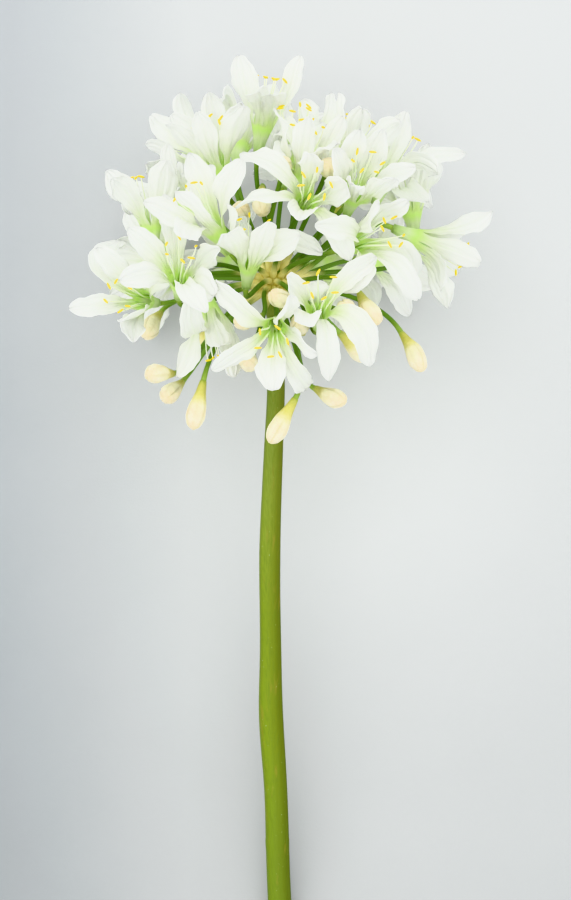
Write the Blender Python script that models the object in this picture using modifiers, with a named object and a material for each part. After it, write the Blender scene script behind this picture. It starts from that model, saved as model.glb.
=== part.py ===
"""Agapanthus flower head: a white umbel on its cut stem, laid down on a table.

Run with blender --background --python part.py, or from Blender's text editor.

The flower is described upright, in millimetres from the hub at the top of the stem: across the view, along
the stem, and towards the viewer. It is then laid back, so that the side that faced the viewer faces up, the
cut end of the stem touches the table, and the lowest petals are pressed flat on it.
"""
import math
import random
from collections import namedtuple
from functools import lru_cache

import bmesh
import bpy
import numpy as np
from mathutils import Vector
from mathutils.bvhtree import BVHTree

# Lengths are in millimetres until a mesh is made
MM = 0.001
WELD = 0.000001  # in metres: what lies this close together is one point
GAP = 0.3  # left between neighbours that touch
HALF_GAP = GAP / 2

# How the flower lies: its stem rises from the table towards the head
LEAN = math.radians(12.5)
CENTRE = (3.0, -83.7)  # middle of the flower's box, which becomes the origin

# Stem: distance along it, sideways bend and radius
STEM = [
    (-262, 2.6, 4.7),
    (-235, 1.4, 4.7),
    (-203, 0.4, 4.6),
    (-170, -1.6, 4.8),
    (-147, -1.7, 4.3),
    (-107, -2.0, 4.2),
    (-67, -0.6, 3.8),
    (-43, 0.4, 3.6),
    (-12, 0.2, 3.7),
    (-4, 0.0, 5.4),
    (2, 0.0, 6.2),
    (6, 0.0, 4.6),
]
STEM_LEVEL = 3  # curve bevel level
STEM_SIDES = 2 * (STEM_LEVEL + 2)
STALK_LEVEL = 1
STALK_SIDES = 2 * (STALK_LEVEL + 2)

# Stalks: from the hub to each floret and bud
HUB_RADIUS = 5.2  # where they start, inside the hub
STALK_RADIUS = 1.15
STALK_STEPS = (0, 0.3, 0.6, 0.88, 1)  # the last stretch runs straight into the floret or bud
ROOT_RISE = 0.45  # how much steeper than its end a stalk leaves the hub
ROOT_APART = 0.42  # between neighbouring roots, as a share of the hub's radius
ROOT_ROUNDS = 60
ROOT_PUSH = 0.3

# Floret: a tube that opens into six petals
PETALS = 6
TUBE_LENGTH = 11.0
TUBE_BASE = 1.7
TUBE_THROAT = 4.2
WALL = 0.7
PETAL_REACH = 30.0  # from the middle of the throat to the petal's tip
PETAL_HALF_WIDTHS = (6.1, 5.1)  # inner and outer petals
PETAL_START = math.radians(20)  # direction of a petal at the throat, off the tube's axis
FLARED = 0.8  # share of the petal's length where it has its full flare
WIDEST = 0.63  # share of its length where it is widest
FOOT_WIDTH = 0.3  # at the throat, as a share of the widest
NARROW_FOOT = 2.1  # the greater, the longer the foot stays narrow
BLUNT_TIP = 2.0  # the greater, the longer it stays wide
TIP_TAPER = 0.62  # the greater, the more pointed the tip
FOOT_LENGTH = 0.25  # share of the length where the tube's ring becomes the blade
TWISTED = 0.6  # share of the length where it has its full twist
SWING_START = 1.5  # the greater, the later a petal leans sideways
PETAL_ROWS = (0.3, 0.62, 0.88)  # the solid's rows between the throat and the tip
CUP = 0.22  # how far the petal's edges rise over its midrib, as a share of its half width
STAMEN_LENGTH = 18.0
STAMEN_KNEE = (2.2, 1.5)  # radius and height where it comes out of the throat
STAMEN_RADII = (0.4, 0.58)
STAMEN_FOOT = (-5.3, -3.3)  # heights of its foot in the wall of the tube, below the throat
CLUB_SIDE = 0.58  # a three-sided club: how far its flat side is from its middle
CLUB_RIDGE = 1.15  # and its ridge, both as shares of its radius

# Buds
BUD_LENGTH = 20.0
BUD_SHAPE = [(0.0, 1.3), (0.25, 2.1), (0.5, 3.5), (0.75, 3.9), (0.93, 2.6), (1.0, 1.1)]
BUD_LEVEL = 1

# Colours: base colour, roughness
GREEN = ((0.13, 0.21, 0.03), 0.55)
WHITE = ((0.82, 0.86, 0.76), 0.6)
CREAM = ((0.74, 0.64, 0.33), 0.5)

# throat: middle of the throat. axis: where the tube points. opening: angle off the axis of the petals that
# have no place of their own. tips: where single petals end, across and along from the throat, whether they
# come towards the viewer (1), go back (-1) or are short (0), and the degrees their faces are turned away.
Floret = namedtuple("Floret", "throat axis opening tips")
FLORETS = [
    Floret((0, -19, 55), (-0.05, -0.3, 0.95), 60,
           [(14, -24, -1), (-1, -23, 1), (-24, -17, 1, 45), (-23, 18, 1, 40), (6, 11, 1, 60),
            (15, -11, 1, 50)]),
    Floret((17, -13, 54), (0.05, 0.5, 0.85), 65,
           [(23, 22, 1), (-12, 13, 1), (20, -21, 1), (4, -27, 1), (-2, 12, 0), (-6, -5, 1, 60)]),
    Floret((-37, 0, 44), (0.05, 0.58, 0.81), 60,
           [(-6, 35, 1), (-19, 19, 1), (-22, -1, 1), (11, -13, 1), (16, -1, 1), (16, 11, 1)]),
    Floret((-23, 19, 49), (-0.53, 0.75, 0.4), 40,
           [(-10, 30, 1), (-2, 27, -1), (11, 27, 1), (-15, 13, 1, 60), (-10, -5, 1)]),
    Floret((-10, 6, 45), (0.1, 0.75, 0.6), 35,
           [(-8, 11, 1), (20, 10, 1), (28, 1, 1), (-4, 19, 0, 60), (8, 15, 1)]),
    Floret((12, 30, 46), (0.2, 0.3, 0.93), 60,
           [(-25, 19, 1, 50), (-28, -2, 1, 65), (-3, -8, 1), (17, -23, 1), (3, 15, 1), (16, 6, 1)]),
    Floret((32, 14, 45), (0.7, 0.2, 0.68), 45,
           [(-5, 11, 1), (24, -22, 1), (19, 15, 1), (21, -17, -1), (8, 14, 1, 70)]),
    Floret((31, 33, 44), (0.25, 0.62, 0.75), 45, [(11, 25, 1), (15, 5, 1)]),
    Floret((-52, -7, 20), (-0.45, 0.05, 0.85), 65,
           [(-29, -3, 1), (-18, 20, 1), (-6, 22, -1), (-3, -17, 1), (-8, -8, 1)]),
    Floret((11, 43, 35), (0.1, 0.85, 0.5), 25, [(2, 20, 1), (9, 20, -1), (-5, 14, -1), (12, 10, 1)]),
    Floret((28, 46, 21), (0.2, 0.7, -0.1), 35,
           [(6, 20, 1), (3, 17, -1), (-6, 14, -1), (7, 7, -1)]),
    Floret((-5, 63, 5), (0.17, 0.98, 0.1), 35,
           [(-9, 28, 1), (14, 29, -1), (-3, 14, -1), (9, 15, -1), (-3, 12, 1), (7, 12, 1)]),
    Floret((-22, 46, 20), (-0.25, 0.85, 0.45), 30, [(-8, 22, 1), (1, 26, 1), (11, 22, 1)]),
    Floret((57, 18, 5), (0.8, -0.35, -0.1), 40,
           [(30, 11, 1), (24, -10, 1), (8, -21, 1), (13, -27, -1)]),
    Floret((44, 42, 6), (0.35, 0.85, 0.1), 40, [(8, 26, 1), (32, 10, -1), (12, 8, -1)]),
    Floret((-49, 23, 15), (-0.1, 0.95, 0.1), 25,
           [(5, 33, 1), (-15, 18, 1), (-9, 18, -1), (8, 20, -1)]),
    Floret((-26, -11, 30), (0.2, -0.95, 0.1), 30,
           [(-12, -27, 1, 30), (6, -16, 1), (11, -17, -1), (3, -13, -1), (10, -24, 1), (-3, -9, 1)]),
    Floret((55, 30, -10), (-0.1, 0.9, 0.1), 25,
           [(-8, 18, 1), (7, 17, 1), (8, 4, -1), (-4, 14, -1)]),
    Floret((8, 51, 11), (0.0, 0.9, 0.3), 25,
           [(-3, 18, 1), (-9, 12, 0), (4, 18, 0), (-8, 17, 0), (8, 12, 0), (0, 19, 0)]),
    Floret((-28, 52, -15), (-0.55, 0.45, -0.6), 25,
           [(-22, 10, -1, 70), (-11, 18, -1, 40), (-11, -2, -1)]),
    Floret((17, 55, -10), (0.1, 0.3, -0.9), 28,
           [(6, 24, -1, 70), (-7, 9, -1), (10, 8, -1)]),
    Floret((-15, 57, -27), (0.05, 0.7, -0.7), 30, [(-7, 18, 1), (-8, 9, -1)]),
    Floret((-44, 9, -16), (-0.5, 0.3, -0.75), 40, []),
    Floret((-34, 34, -36), (-0.6, 0.4, -0.65), 45, []),
    Floret((33, 38, -30), (0.4, 0.45, -0.75), 40, []),
    Floret((4, 48, -38), (0.1, 0.7, -0.7), 50, []),
    Floret((-42, 5, -40), (-0.65, 0.05, -0.75), 55, []),
    Floret((40, 12, -38), (0.65, 0.05, -0.75), 55, []),
    Floret((-17, 12, -50), (-0.4, 0.2, -0.85), 75, []),
    Floret((19, 10, -50), (0.45, 0.05, -0.87), 75, []),
]

# neck: where the bud meets its stalk. tip: where it points, across and along from the neck, and towards the
# viewer (1) or back (-1)
Bud = namedtuple("Bud", "neck tip")
BUDS = [
    Bud((8, -46, 45), (-11, -19, 1)),
    Bud((-28, -39, 30), (-4, -19, 1)),
    Bud((50, -20, 20), (8, -15, 1)),
    Bud((33, -5, 42), (7, -12, 1)),
    Bud((16, -42, 30), (11, -5, 1)),
    Bud((-40, -36, 28), (-9, -1, 1)),
    Bud((-37, -39, 9), (-6, -7, 1)),
    Bud((-10, -34, 34), (0, 3, 1)),
    Bud((-6, -14, 40), (-8, -3, 1)),
    Bud((28, -12, 40), (0, 1, 1)),
    Bud((11, -20, 28), (-2, 4, 1)),
    Bud((8, -9, 41), (-9, 3, 1)),
    Bud((20, 42, 35), (1, 2, 1)),
    Bud((3, 43, 31), (0, 2, 1)),
    Bud((-5, 38, 12), (0, -11, 1)),
    Bud((-12, 26, 4), (-2, 4, 1)),
    Bud((-46, -11, -5), (-5, -10, 1)),
    Bud((-24, -16, -28), (-11, -10, -1)),
    Bud((26, -18, -28), (11, -11, -1)),
    Bud((2, -16, -34), (2, -14, -1)),
    Bud((24, 30, -34), (7, 10, -1)),
]


def unit(v):
    v = np.asarray(v, float)
    return v / np.linalg.norm(v)


def hub_height():
    """The lowest side of the cut end touches the table."""
    along, _, radius = STEM[0]
    return -along * math.sin(LEAN) + radius * math.cos(math.pi / STEM_SIDES) * math.cos(LEAN)


def to_table(points):
    """Upright flower to lying flower, with the table at height 0."""
    p = np.atleast_2d(np.asarray(points, float))
    out = np.empty_like(p)
    out[:, 0] = p[:, 0] - CENTRE[0]
    out[:, 1] = p[:, 1] * math.cos(LEAN) - p[:, 2] * math.sin(LEAN) - CENTRE[1]
    out[:, 2] = p[:, 1] * math.sin(LEAN) + p[:, 2] * math.cos(LEAN) + hub_height()
    return out


def settle(points, floor, soft=2.0):
    """Presses what would go below the floor flat on it, with a soft bend just above."""
    p = points.copy()
    over = p[:, 2] - floor
    bend = (over + soft) ** 2 / (4 * soft)
    p[:, 2] = floor + np.where(over <= -soft, 0, np.where(over < soft, bend, over))
    return p


def smooth(x):
    x = np.clip(x, 0, 1)
    return x * x * (3 - 2 * x)


# The petal's form

def axes_about(axis):
    """Two directions square to the axis; the first is as level with the view as can be."""
    axis = unit(axis)
    side = np.array((0.0, 0.0, 1.0)) if abs(axis[2]) < 0.9 else np.array((0.0, 1.0, 0.0))
    first = unit(np.cross(side, axis))
    return first, np.cross(axis, first), axis


def petal_line(flare, length, steps=24):
    """Radius, height and direction along a petal that leaves the throat steeply and bends out to flare."""
    s = (np.arange(steps) + 0.5) / steps
    phi = PETAL_START + (flare - PETAL_START) * smooth(s / FLARED)
    radius = TUBE_THROAT + np.concatenate(([0], np.cumsum(np.sin(phi)))) * length / steps
    height = np.concatenate(([0], np.cumsum(np.cos(phi)))) * length / steps
    return radius, height, np.concatenate(([PETAL_START], phi))


@lru_cache(maxsize=None)
def aim_petal(opening, reach):
    """The petal line whose tip has this angle off the axis and this distance from the throat."""
    length = reach
    flare = opening
    for _ in range(3):
        low, high = -0.6, 3.3
        for _ in range(18):
            flare = (low + high) / 2
            radius, height, _ = petal_line(flare, length)
            if math.atan2(radius[-1], height[-1]) < opening:
                low = flare
            else:
                high = flare
        length *= reach / math.hypot(radius[-1], height[-1])
    return petal_line(flare, length)


def petal_width(s):
    """Half width along a petal, as a share of its widest."""
    rise = FOOT_WIDTH + (1 - FOOT_WIDTH) * np.sin(np.pi / 2 * np.clip(s / WIDEST, 0, 1)) ** NARROW_FOOT
    fall = (1 - np.clip((s - WIDEST) / (1 - WIDEST), 0, 1) ** BLUNT_TIP) ** TIP_TAPER
    return np.where(s < WIDEST, rise, fall)


MOST_SHIFT = math.radians(12)  # a petal's foot, off its even place round the throat
MOST_SWING = math.radians(30)  # its tip, off its foot
MOST_TWIST = math.radians(52)
LEAST_OPEN = math.radians(18)
MOST_OPEN = math.radians(105)
LONGEST = 1.12 * PETAL_REACH
TURNS = 24  # turns of a floret round its tube that are tried

# What differs from petal to petal, where the table leaves it open
OPENING_SPREAD = 9  # degrees either way
ANGLE_SPREAD = 6
TWIST_SPREAD = 8
REACH_SPREAD = (0.93, 1.04)

# angle: round the axis. left, right: where its share of the throat ends. opening: of its tip off the axis.
# swing: how far the tip leans sideways. half_width, twist: of the blade. placed: the table gives its tip.
Petal = namedtuple("Petal", "angle left right opening reach swing half_width twist placed")


def petal_point(petal, s, t):
    """Points of the petal's middle surface: s runs from the throat to the tip, t from edge to edge."""
    s = np.asarray(s, float)
    t = np.asarray(t, float)
    radius, height, phi = aim_petal(petal.opening, petal.reach)
    knots = np.linspace(0, 1, len(radius))
    r = np.interp(s, knots, radius)
    h = np.interp(s, knots, height)
    p = np.interp(s, knots, phi)
    turn = petal.angle + petal.swing * s ** SWING_START
    out = np.stack((np.cos(turn), np.sin(turn), np.zeros_like(s)), -1)
    side = np.stack((-np.sin(turn), np.cos(turn), np.zeros_like(s)), -1)
    up = np.array((0.0, 0.0, 1.0))
    inward = -np.cos(p)[..., None] * out + np.sin(p)[..., None] * up
    twist = (petal.twist * smooth(s / TWISTED))[..., None]
    across = side * np.cos(twist) + inward * np.sin(twist)
    rise = inward * np.cos(twist) - side * np.sin(twist)
    half = (petal.half_width * petal_width(s))[..., None]
    blade = r[..., None] * out + h[..., None] * up
    blade = blade + (t[..., None] * across + CUP * t[..., None] ** 2 * rise) * half
    ring = petal.left + (petal.right - petal.left) * (t + 1) / 2
    throat = np.stack((np.cos(ring), np.sin(ring), np.zeros_like(s)), -1) * TUBE_THROAT
    blend = smooth(s / FOOT_LENGTH)[..., None]
    foot = throat + h[..., None] * up + (r - TUBE_THROAT)[..., None] * out
    return foot * (1 - blend) + blade * blend


def wrap(angle):
    return (angle + math.pi) % (2 * math.pi) - math.pi


def facing_twist(petal, floret, turned):
    """Twist that turns the blade's broad side to the light from the viewer's side, and then turns it away."""
    light = np.stack(axes_about(floret.axis)) @ np.array((0.0, 0.0, 1.0))
    _, _, phi = aim_petal(petal.opening, petal.reach)
    steep = phi[int(len(phi) * WIDEST)]
    turn = petal.angle + petal.swing / 2
    out = np.array((math.cos(turn), math.sin(turn), 0.0))
    side = np.array((-math.sin(turn), math.cos(turn), 0.0))
    inward = -math.cos(steep) * out + np.array((0, 0, math.sin(steep)))
    twist = math.atan2(-(light @ side), light @ inward)
    if abs(twist) > math.pi / 2:
        twist -= math.copysign(math.pi, twist)
    twist -= math.copysign(turned, twist)
    return min(max(twist, -MOST_TWIST), MOST_TWIST)


def petals_of(floret, seed):
    """The six petals as the table asks for them, each at its place round the throat."""
    first, second, axis = axes_about(floret.axis)
    draw = random.Random(seed)
    wanted = []
    for across, along, towards, *turned in floret.tips:
        reach = math.hypot(across, along)
        depth = towards * math.sqrt(max(PETAL_REACH ** 2 - reach ** 2, 0))
        d = np.array((across, along, depth))
        reach = min(float(np.linalg.norm(d)), LONGEST)
        opening = min(max(math.acos(np.clip(unit(d) @ axis, -1, 1)), LEAST_OPEN), MOST_OPEN)
        wanted.append((math.atan2(d @ second, d @ first), opening, reach, math.radians(sum(turned))))
    best = None
    for step in range(TURNS):
        roll = step * 2 * math.pi / PETALS / TURNS
        slots, cost = {}, 0.0
        for k, (angle, _, _, _) in enumerate(wanted):
            order = sorted(range(PETALS), key=lambda i: abs(wrap(angle - roll - i * math.pi / 3)))
            slot = next(i for i in order if i not in slots)
            slots[slot] = k
            cost += wrap(angle - roll - slot * math.pi / 3) ** 2
        if best is None or cost < best[0]:
            best = (cost, roll, slots)
    _, roll, slots = best
    angles, forms = [], []
    for i in range(PETALS):
        middle = roll + i * math.pi / 3
        opening = math.radians(floret.opening + draw.uniform(-OPENING_SPREAD, OPENING_SPREAD))
        reach = PETAL_REACH * draw.uniform(*REACH_SPREAD)
        off = math.radians(draw.uniform(-ANGLE_SPREAD, ANGLE_SPREAD))
        turned = 0.0
        if i in slots:
            angle, opening, reach, turned = wanted[slots[i]]
            off = wrap(angle - middle)
        shift = min(max(off, -MOST_SHIFT), MOST_SHIFT)
        angles.append(middle + shift)
        forms.append((opening, reach, min(max(off - shift, -MOST_SWING), MOST_SWING), turned))
    petals = []
    for i, (opening, reach, swing, turned) in enumerate(forms):
        before = angles[i - 1] - (2 * math.pi if i == 0 else 0)
        after = angles[(i + 1) % PETALS] + (2 * math.pi if i == PETALS - 1 else 0)
        petal = Petal(angles[i], (before + angles[i]) / 2, (angles[i] + after) / 2, opening, reach,
                      swing, PETAL_HALF_WIDTHS[i % 2], 0.0, i in slots)
        twist = facing_twist(petal, floret, turned)
        twist += math.radians(draw.uniform(-TWIST_SPREAD, TWIST_SPREAD))
        petals.append(petal._replace(twist=twist))
    return petals


# Ways to bend a petal clear of its neighbours: lift and swing in degrees, and shares of its length and twist
LIFTS = (0, 12, -12, 24, -24, 36, -36, 50, -50, 65, -65)
SWINGS = (0, 9, -9, 18, -18, 27, -27)
SHORTER = (1.0, 0.87, 0.74, 0.6, 0.48)
FLATTER = (1.0, 0.6, 0.2, -0.3)
BENT_OPEN = (math.radians(14), math.radians(118))
SHORTER_COST = 20
FLATTER_COST = 2


def bend_cost(way):
    """How far from the wanted petal; a step of lift or swing counts 1."""
    lift, swing, shorter, flatter = way
    steps = abs(lift) / LIFTS[1] + abs(swing) / SWINGS[1]
    return steps + (1 - shorter) * SHORTER_COST + (1 - flatter) * FLATTER_COST


BENDS = sorted(((lift, swing, shorter, flatter) for shorter in SHORTER for lift in LIFTS for swing in SWINGS
                for flatter in FLATTER), key=bend_cost)


def bends(petal):
    """The petal as it is wanted, then bent a little and more, to be clear of what is there already."""
    for lift, swing, shorter, flatter in BENDS:
        opening = petal.opening + math.radians(lift)
        if BENT_OPEN[0] <= opening <= BENT_OPEN[1]:
            yield petal._replace(opening=opening, swing=petal.swing + math.radians(swing),
                                 reach=petal.reach * shorter, twist=petal.twist * flatter)


def to_flower(points, floret):
    """From the floret's own frame, with the throat at 0 and its axis up, to the upright flower."""
    first, second, axis = axes_about(floret.axis)
    return points @ np.stack((first, second, axis)) + np.asarray(floret.throat, float)


def petal_grid(petal, floret):
    """Two points at the throat, rows of three and the tip, lying."""
    s = np.concatenate(((0.0, 0.0), np.repeat(PETAL_ROWS, 3), (1.0,)))
    t = np.concatenate(((-1.0, 1.0), np.tile((-1.0, 0.0, 1.0), len(PETAL_ROWS)), (0.0,)))
    points = petal_point(petal, s, t)
    return settle(to_table(to_flower(points, floret)), WALL / 2)


# Guards: simple shapes, a little larger than the pieces, that must not cross

def blade_faces(foot):
    """Triangles of a blade: a foot of two points, or none, rows of three and the tip."""
    faces = [(0, 2, 3), (0, 3, 1), (1, 3, 4)] if foot else []
    for row in range(len(PETAL_ROWS) - 1):
        a = foot + row * 3
        faces += [(a, a + 3, a + 4), (a, a + 4, a + 1), (a + 1, a + 4, a + 2), (a + 2, a + 4, a + 5)]
    a = foot + (len(PETAL_ROWS) - 1) * 3
    return faces + [(a, a + 3, a + 1), (a + 1, a + 3, a + 2)]


def blade_guard(grid, foot=2):
    """Both faces of a blade, grown by half a gap."""
    faces = blade_faces(foot)
    normal = np.zeros_like(grid)
    for face in faces:
        a, b, c = grid[list(face)]
        normal[list(face)] += np.cross(b - a, c - a)
    normal /= np.linalg.norm(normal, axis=1, keepdims=True)
    away = grid - grid.mean(0)
    grown = grid + away / np.linalg.norm(away, axis=1, keepdims=True) * HALF_GAP
    half = WALL / 2 + HALF_GAP
    points = np.concatenate((grown + normal * half, grown - normal * half))
    n = len(grid)
    both = faces + [tuple(k + n for k in reversed(face)) for face in faces]
    left = ([0] if foot else []) + [foot + row * 3 for row in range(len(PETAL_ROWS))]
    right = ([1] if foot else []) + [foot + row * 3 + 2 for row in range(len(PETAL_ROWS))]
    edge = left + [n - 1] + right[::-1] + left[:1]
    both += [(a, a + n, b + n, b) for a, b in zip(edge, edge[1:])]
    return points, both


def rod_guard(points, radii, grow=HALF_GAP, sides=STALK_SIDES):
    """A closed rod through the points, round about them and grown by half a gap."""
    points = np.asarray(points, float)
    around = 1 / math.cos(math.pi / sides)
    rings, faces = [], []
    for i, point in enumerate(points):
        ahead = unit(points[min(i + 1, len(points) - 1)] - points[max(i - 1, 0)])
        first, second, _ = axes_about(ahead)
        shift = ahead * grow * (-1 if i == 0 else 1 if i == len(points) - 1 else 0)
        for k in range(sides):
            turn = 2 * math.pi * k / sides
            ring = math.cos(turn) * first + math.sin(turn) * second
            rings.append(point + shift + ring * (radii[i] + grow) * around)
    for i in range(len(points) - 1):
        for k in range(sides):
            a, b = i * sides + k, i * sides + (k + 1) % sides
            faces.append((a, b, b + sides, a + sides))
    faces.append(tuple(reversed(range(sides))))
    faces.append(tuple(range((len(points) - 1) * sides, len(points) * sides)))
    return np.array(rings), faces


class Guards:
    """What is in place already, by owner."""

    def __init__(self):
        self.items = []

    def add(self, owner, shape):
        points, faces = shape
        tree = BVHTree.FromPolygons([tuple(p) for p in points], faces)
        self.items.append((owner, points.min(0), points.max(0), tree))

    def clear(self, shape, skip=()):
        points, faces = shape
        low, high = points.min(0), points.max(0)
        tree = None
        for owner, lo, hi, other in self.items:
            if owner in skip or (lo > high).any() or (hi < low).any():
                continue
            if tree is None:
                tree = BVHTree.FromPolygons([tuple(p) for p in points], faces)
            if tree.overlap(other):
                return False
        return True


# Layout: buds and tubes stand where the table puts them; stalks, stamens and petals are bent clear

def bud_direction(bud):
    across, along, towards = bud.tip
    depth = towards * math.sqrt(max(BUD_LENGTH ** 2 - across ** 2 - along ** 2, 0))
    return unit((across, along, depth))


def bud_line(bud):
    """Points and radii along the bud, lying."""
    direction = bud_direction(bud)
    shares = [share for share, _ in BUD_SHAPE]
    points = [np.asarray(bud.neck, float) + direction * share * BUD_LENGTH for share in shares]
    radii = [radius for _, radius in BUD_SHAPE]
    return to_table(points), radii


def tube_line(floret):
    axis = unit(floret.axis)
    throat = np.asarray(floret.throat, float)
    return to_table([throat - axis * TUBE_LENGTH, throat]), (TUBE_BASE, TUBE_THROAT)


def stalk_roots(ends):
    """Spread the stalks' feet over the hub's dome, each towards its own end."""
    ways = np.array([unit(unit(end) + np.array((0, ROOT_RISE, 0))) for end in ends])
    itself = np.eye(len(ways)) * 10  # so far that a root isn't pushed by itself
    for _ in range(ROOT_ROUNDS):
        apart = ways[:, None] - ways[None]
        distance = np.linalg.norm(apart, axis=2) + itself
        push = (apart / distance[..., None] * np.clip(ROOT_APART - distance, 0, None)[..., None]).sum(1)
        ways = ways + ROOT_PUSH * push
        ways /= np.linalg.norm(ways, axis=1, keepdims=True)
    return ways


def stalk_curve(way, end, direction, bulge):
    """From the hub out to the end, and into its direction there.

    bulge: how stiffly it leaves the hub, how stiffly it arrives, and how far it bows sideways halfway.
    """
    start = way * HUB_RADIUS
    span = np.linalg.norm(end - start)
    u = np.array(STALK_STEPS)[:, None]
    out = way * span * bulge[0]
    into = direction * span * bulge[1]
    curve = ((2 * u ** 3 - 3 * u ** 2 + 1) * start + (u ** 3 - 2 * u ** 2 + u) * out
             + (3 * u ** 2 - 2 * u ** 3) * end + (u ** 3 - u ** 2) * into)
    side = unit(np.cross(way, direction) + 1e-3)  # also where the two are in line
    halfway = (4 * u * (1 - u)) ** 2
    return curve + side * bulge[2] * span * halfway


STIFFNESS = (1.0, 0.6, 1.4, 0.3)
BOWS = (0, 0.1, -0.1, 0.2, -0.2, 0.3, -0.3)
STALK_BULGES = [(leave, arrive, bow) for bow in BOWS for leave in STIFFNESS for arrive in STIFFNESS]


def route_stalks(guards, report):
    """A stalk for each floret and bud, past what stands in its way."""
    jobs = []
    for i, floret in enumerate(FLORETS):
        axis = unit(floret.axis)
        end = np.asarray(floret.throat, float) - axis * (TUBE_LENGTH + WALL / 2 + GAP)
        jobs.append((f"floret_{i + 1:02d}", end, axis))
    for i, bud in enumerate(BUDS):
        direction = bud_direction(bud)
        jobs.append((f"bud_{i + 1:02d}", np.asarray(bud.neck, float) - direction * GAP, direction))
    ways = stalk_roots([end for _, end, _ in jobs])
    stalks = []
    for (owner, end, direction), way in zip(jobs, ways):
        chosen = None
        for bulge in STALK_BULGES:
            curve = to_table(stalk_curve(way, end, direction, bulge))
            if curve[:, 2].min() < STALK_RADIUS:
                continue
            shape = rod_guard(curve, [STALK_RADIUS] * len(curve))
            if guards.clear(shape, skip=(owner, "scape")):
                chosen = bulge
                break
        if chosen is None:
            report.append(f"{owner} stalk")
            chosen = STALK_BULGES[0]
        curve = to_table(stalk_curve(way, end, direction, chosen))
        guards.add("scape", rod_guard(curve, [STALK_RADIUS] * len(curve)))
        stalks.append(curve)
    return stalks


def stamen_line(petal, floret, lean, spread):
    """From the throat to the anther of the stamen in front of a petal, lying."""
    out = np.array((math.cos(petal.angle), math.sin(petal.angle), 0.0))
    knee = out * STAMEN_KNEE[0] + np.array((0, 0, STAMEN_KNEE[1]))
    way = unit(out * math.tan(spread) + np.array((lean[0], lean[1], 1.0)))
    line = np.array((knee, knee + way * STAMEN_LENGTH))
    return settle(to_table(to_flower(line, floret)), STAMEN_RADII[1])


# Ways to keep a floret's stamens clear: how far they spread and which way the bunch leans, in degrees, and
# how much it leans
STAMEN_SPREADS = (12, 6, 18)
STAMEN_WAYS = [(spread, turn, lean) for lean in (0.0, 0.25, 0.5) for spread in STAMEN_SPREADS
               for turn in range(0, 360, 60)]


def place_stamens(guards, petals, report):
    """Each floret's bunch leans the way that keeps it clear."""
    bunches = []
    for i, floret in enumerate(FLORETS):
        chosen = None
        for spread, turn, lean in STAMEN_WAYS:
            way = (lean * math.cos(math.radians(turn)), lean * math.sin(math.radians(turn)))
            lines = [stamen_line(petal, floret, way, math.radians(spread)) for petal in petals[i]]
            if all(guards.clear(rod_guard(line, STAMEN_RADII)) for line in lines):
                chosen = lines
                break
        if chosen is None:
            report.append(f"floret_{i + 1:02d} stamens")
            spread = math.radians(STAMEN_SPREADS[0])
            chosen = [stamen_line(petal, floret, (0, 0), spread) for petal in petals[i]]
        for line in chosen:
            guards.add(f"floret_{i + 1:02d}_stamens", rod_guard(line, STAMEN_RADII))
        bunches.append(chosen)
    return bunches


def place_petals(guards, petals, report):
    """Each petal takes the first of its bends that is clear of every other piece, placed petals first."""
    inside = [Guards() for _ in FLORETS]
    for first in (True, False):
        for i, floret in enumerate(FLORETS):
            owner = f"floret_{i + 1:02d}"
            for k, petal in enumerate(petals[i]):
                if petal.placed != first:
                    continue
                chosen = clear_bend(petal, floret, inside[i], guards, (owner, owner + "_petals"))
                if chosen is None:
                    report.append(f"{owner} petal {k}")
                    chosen = petal
                petals[i][k] = chosen
                grid = petal_grid(chosen, floret)
                inside[i].add(k, blade_guard(grid[2:], 0))
                guards.add(owner + "_petals", blade_guard(grid))
    return petals


def clear_bend(petal, floret, inside, guards, skip):
    """inside: the floret's other petals, whose feet meet this one's."""
    for bent in bends(petal):
        grid = petal_grid(bent, floret)
        if inside.clear(blade_guard(grid[2:], 0)) and guards.clear(blade_guard(grid), skip):
            return bent
    return None


def lay_out():
    """The stem's, stalks' and stamens' points, the bent petals, and which pieces found no clear way."""
    report = []
    guards = Guards()
    stem = to_table([(bend, along, 0) for along, bend, _ in STEM])
    guards.add("scape", rod_guard(stem, [radius for _, _, radius in STEM], sides=STEM_SIDES))
    for i, bud in enumerate(BUDS):
        points, radii = bud_line(bud)
        guards.add(f"bud_{i + 1:02d}", rod_guard(points, radii))
    for i, floret in enumerate(FLORETS):
        points, radii = tube_line(floret)
        guards.add(f"floret_{i + 1:02d}", rod_guard(points, radii))
    petals = [petals_of(floret, i) for i, floret in enumerate(FLORETS)]
    stalks = route_stalks(guards, report)
    stamens = place_stamens(guards, petals, report)
    petals = place_petals(guards, petals, report)
    return stem, stalks, stamens, petals, report


# Meshes

def new_object(name, mesh, collection):
    obj = bpy.data.objects.new(name, mesh)
    collection.objects.link(obj)
    return obj


def baked(obj):
    """The object's evaluated mesh, welded, in place of the object."""
    bpy.context.view_layer.update()
    mesh = bpy.data.meshes.new_from_object(obj.evaluated_get(bpy.context.evaluated_depsgraph_get()))
    bm = bmesh.new()
    bm.from_mesh(mesh)
    bmesh.ops.remove_doubles(bm, verts=bm.verts, dist=WELD)
    bmesh.ops.recalc_face_normals(bm, faces=bm.faces)
    bm.to_mesh(mesh)
    bm.free()
    mesh.name = obj.name
    bpy.data.objects.remove(obj)
    return mesh


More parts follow.
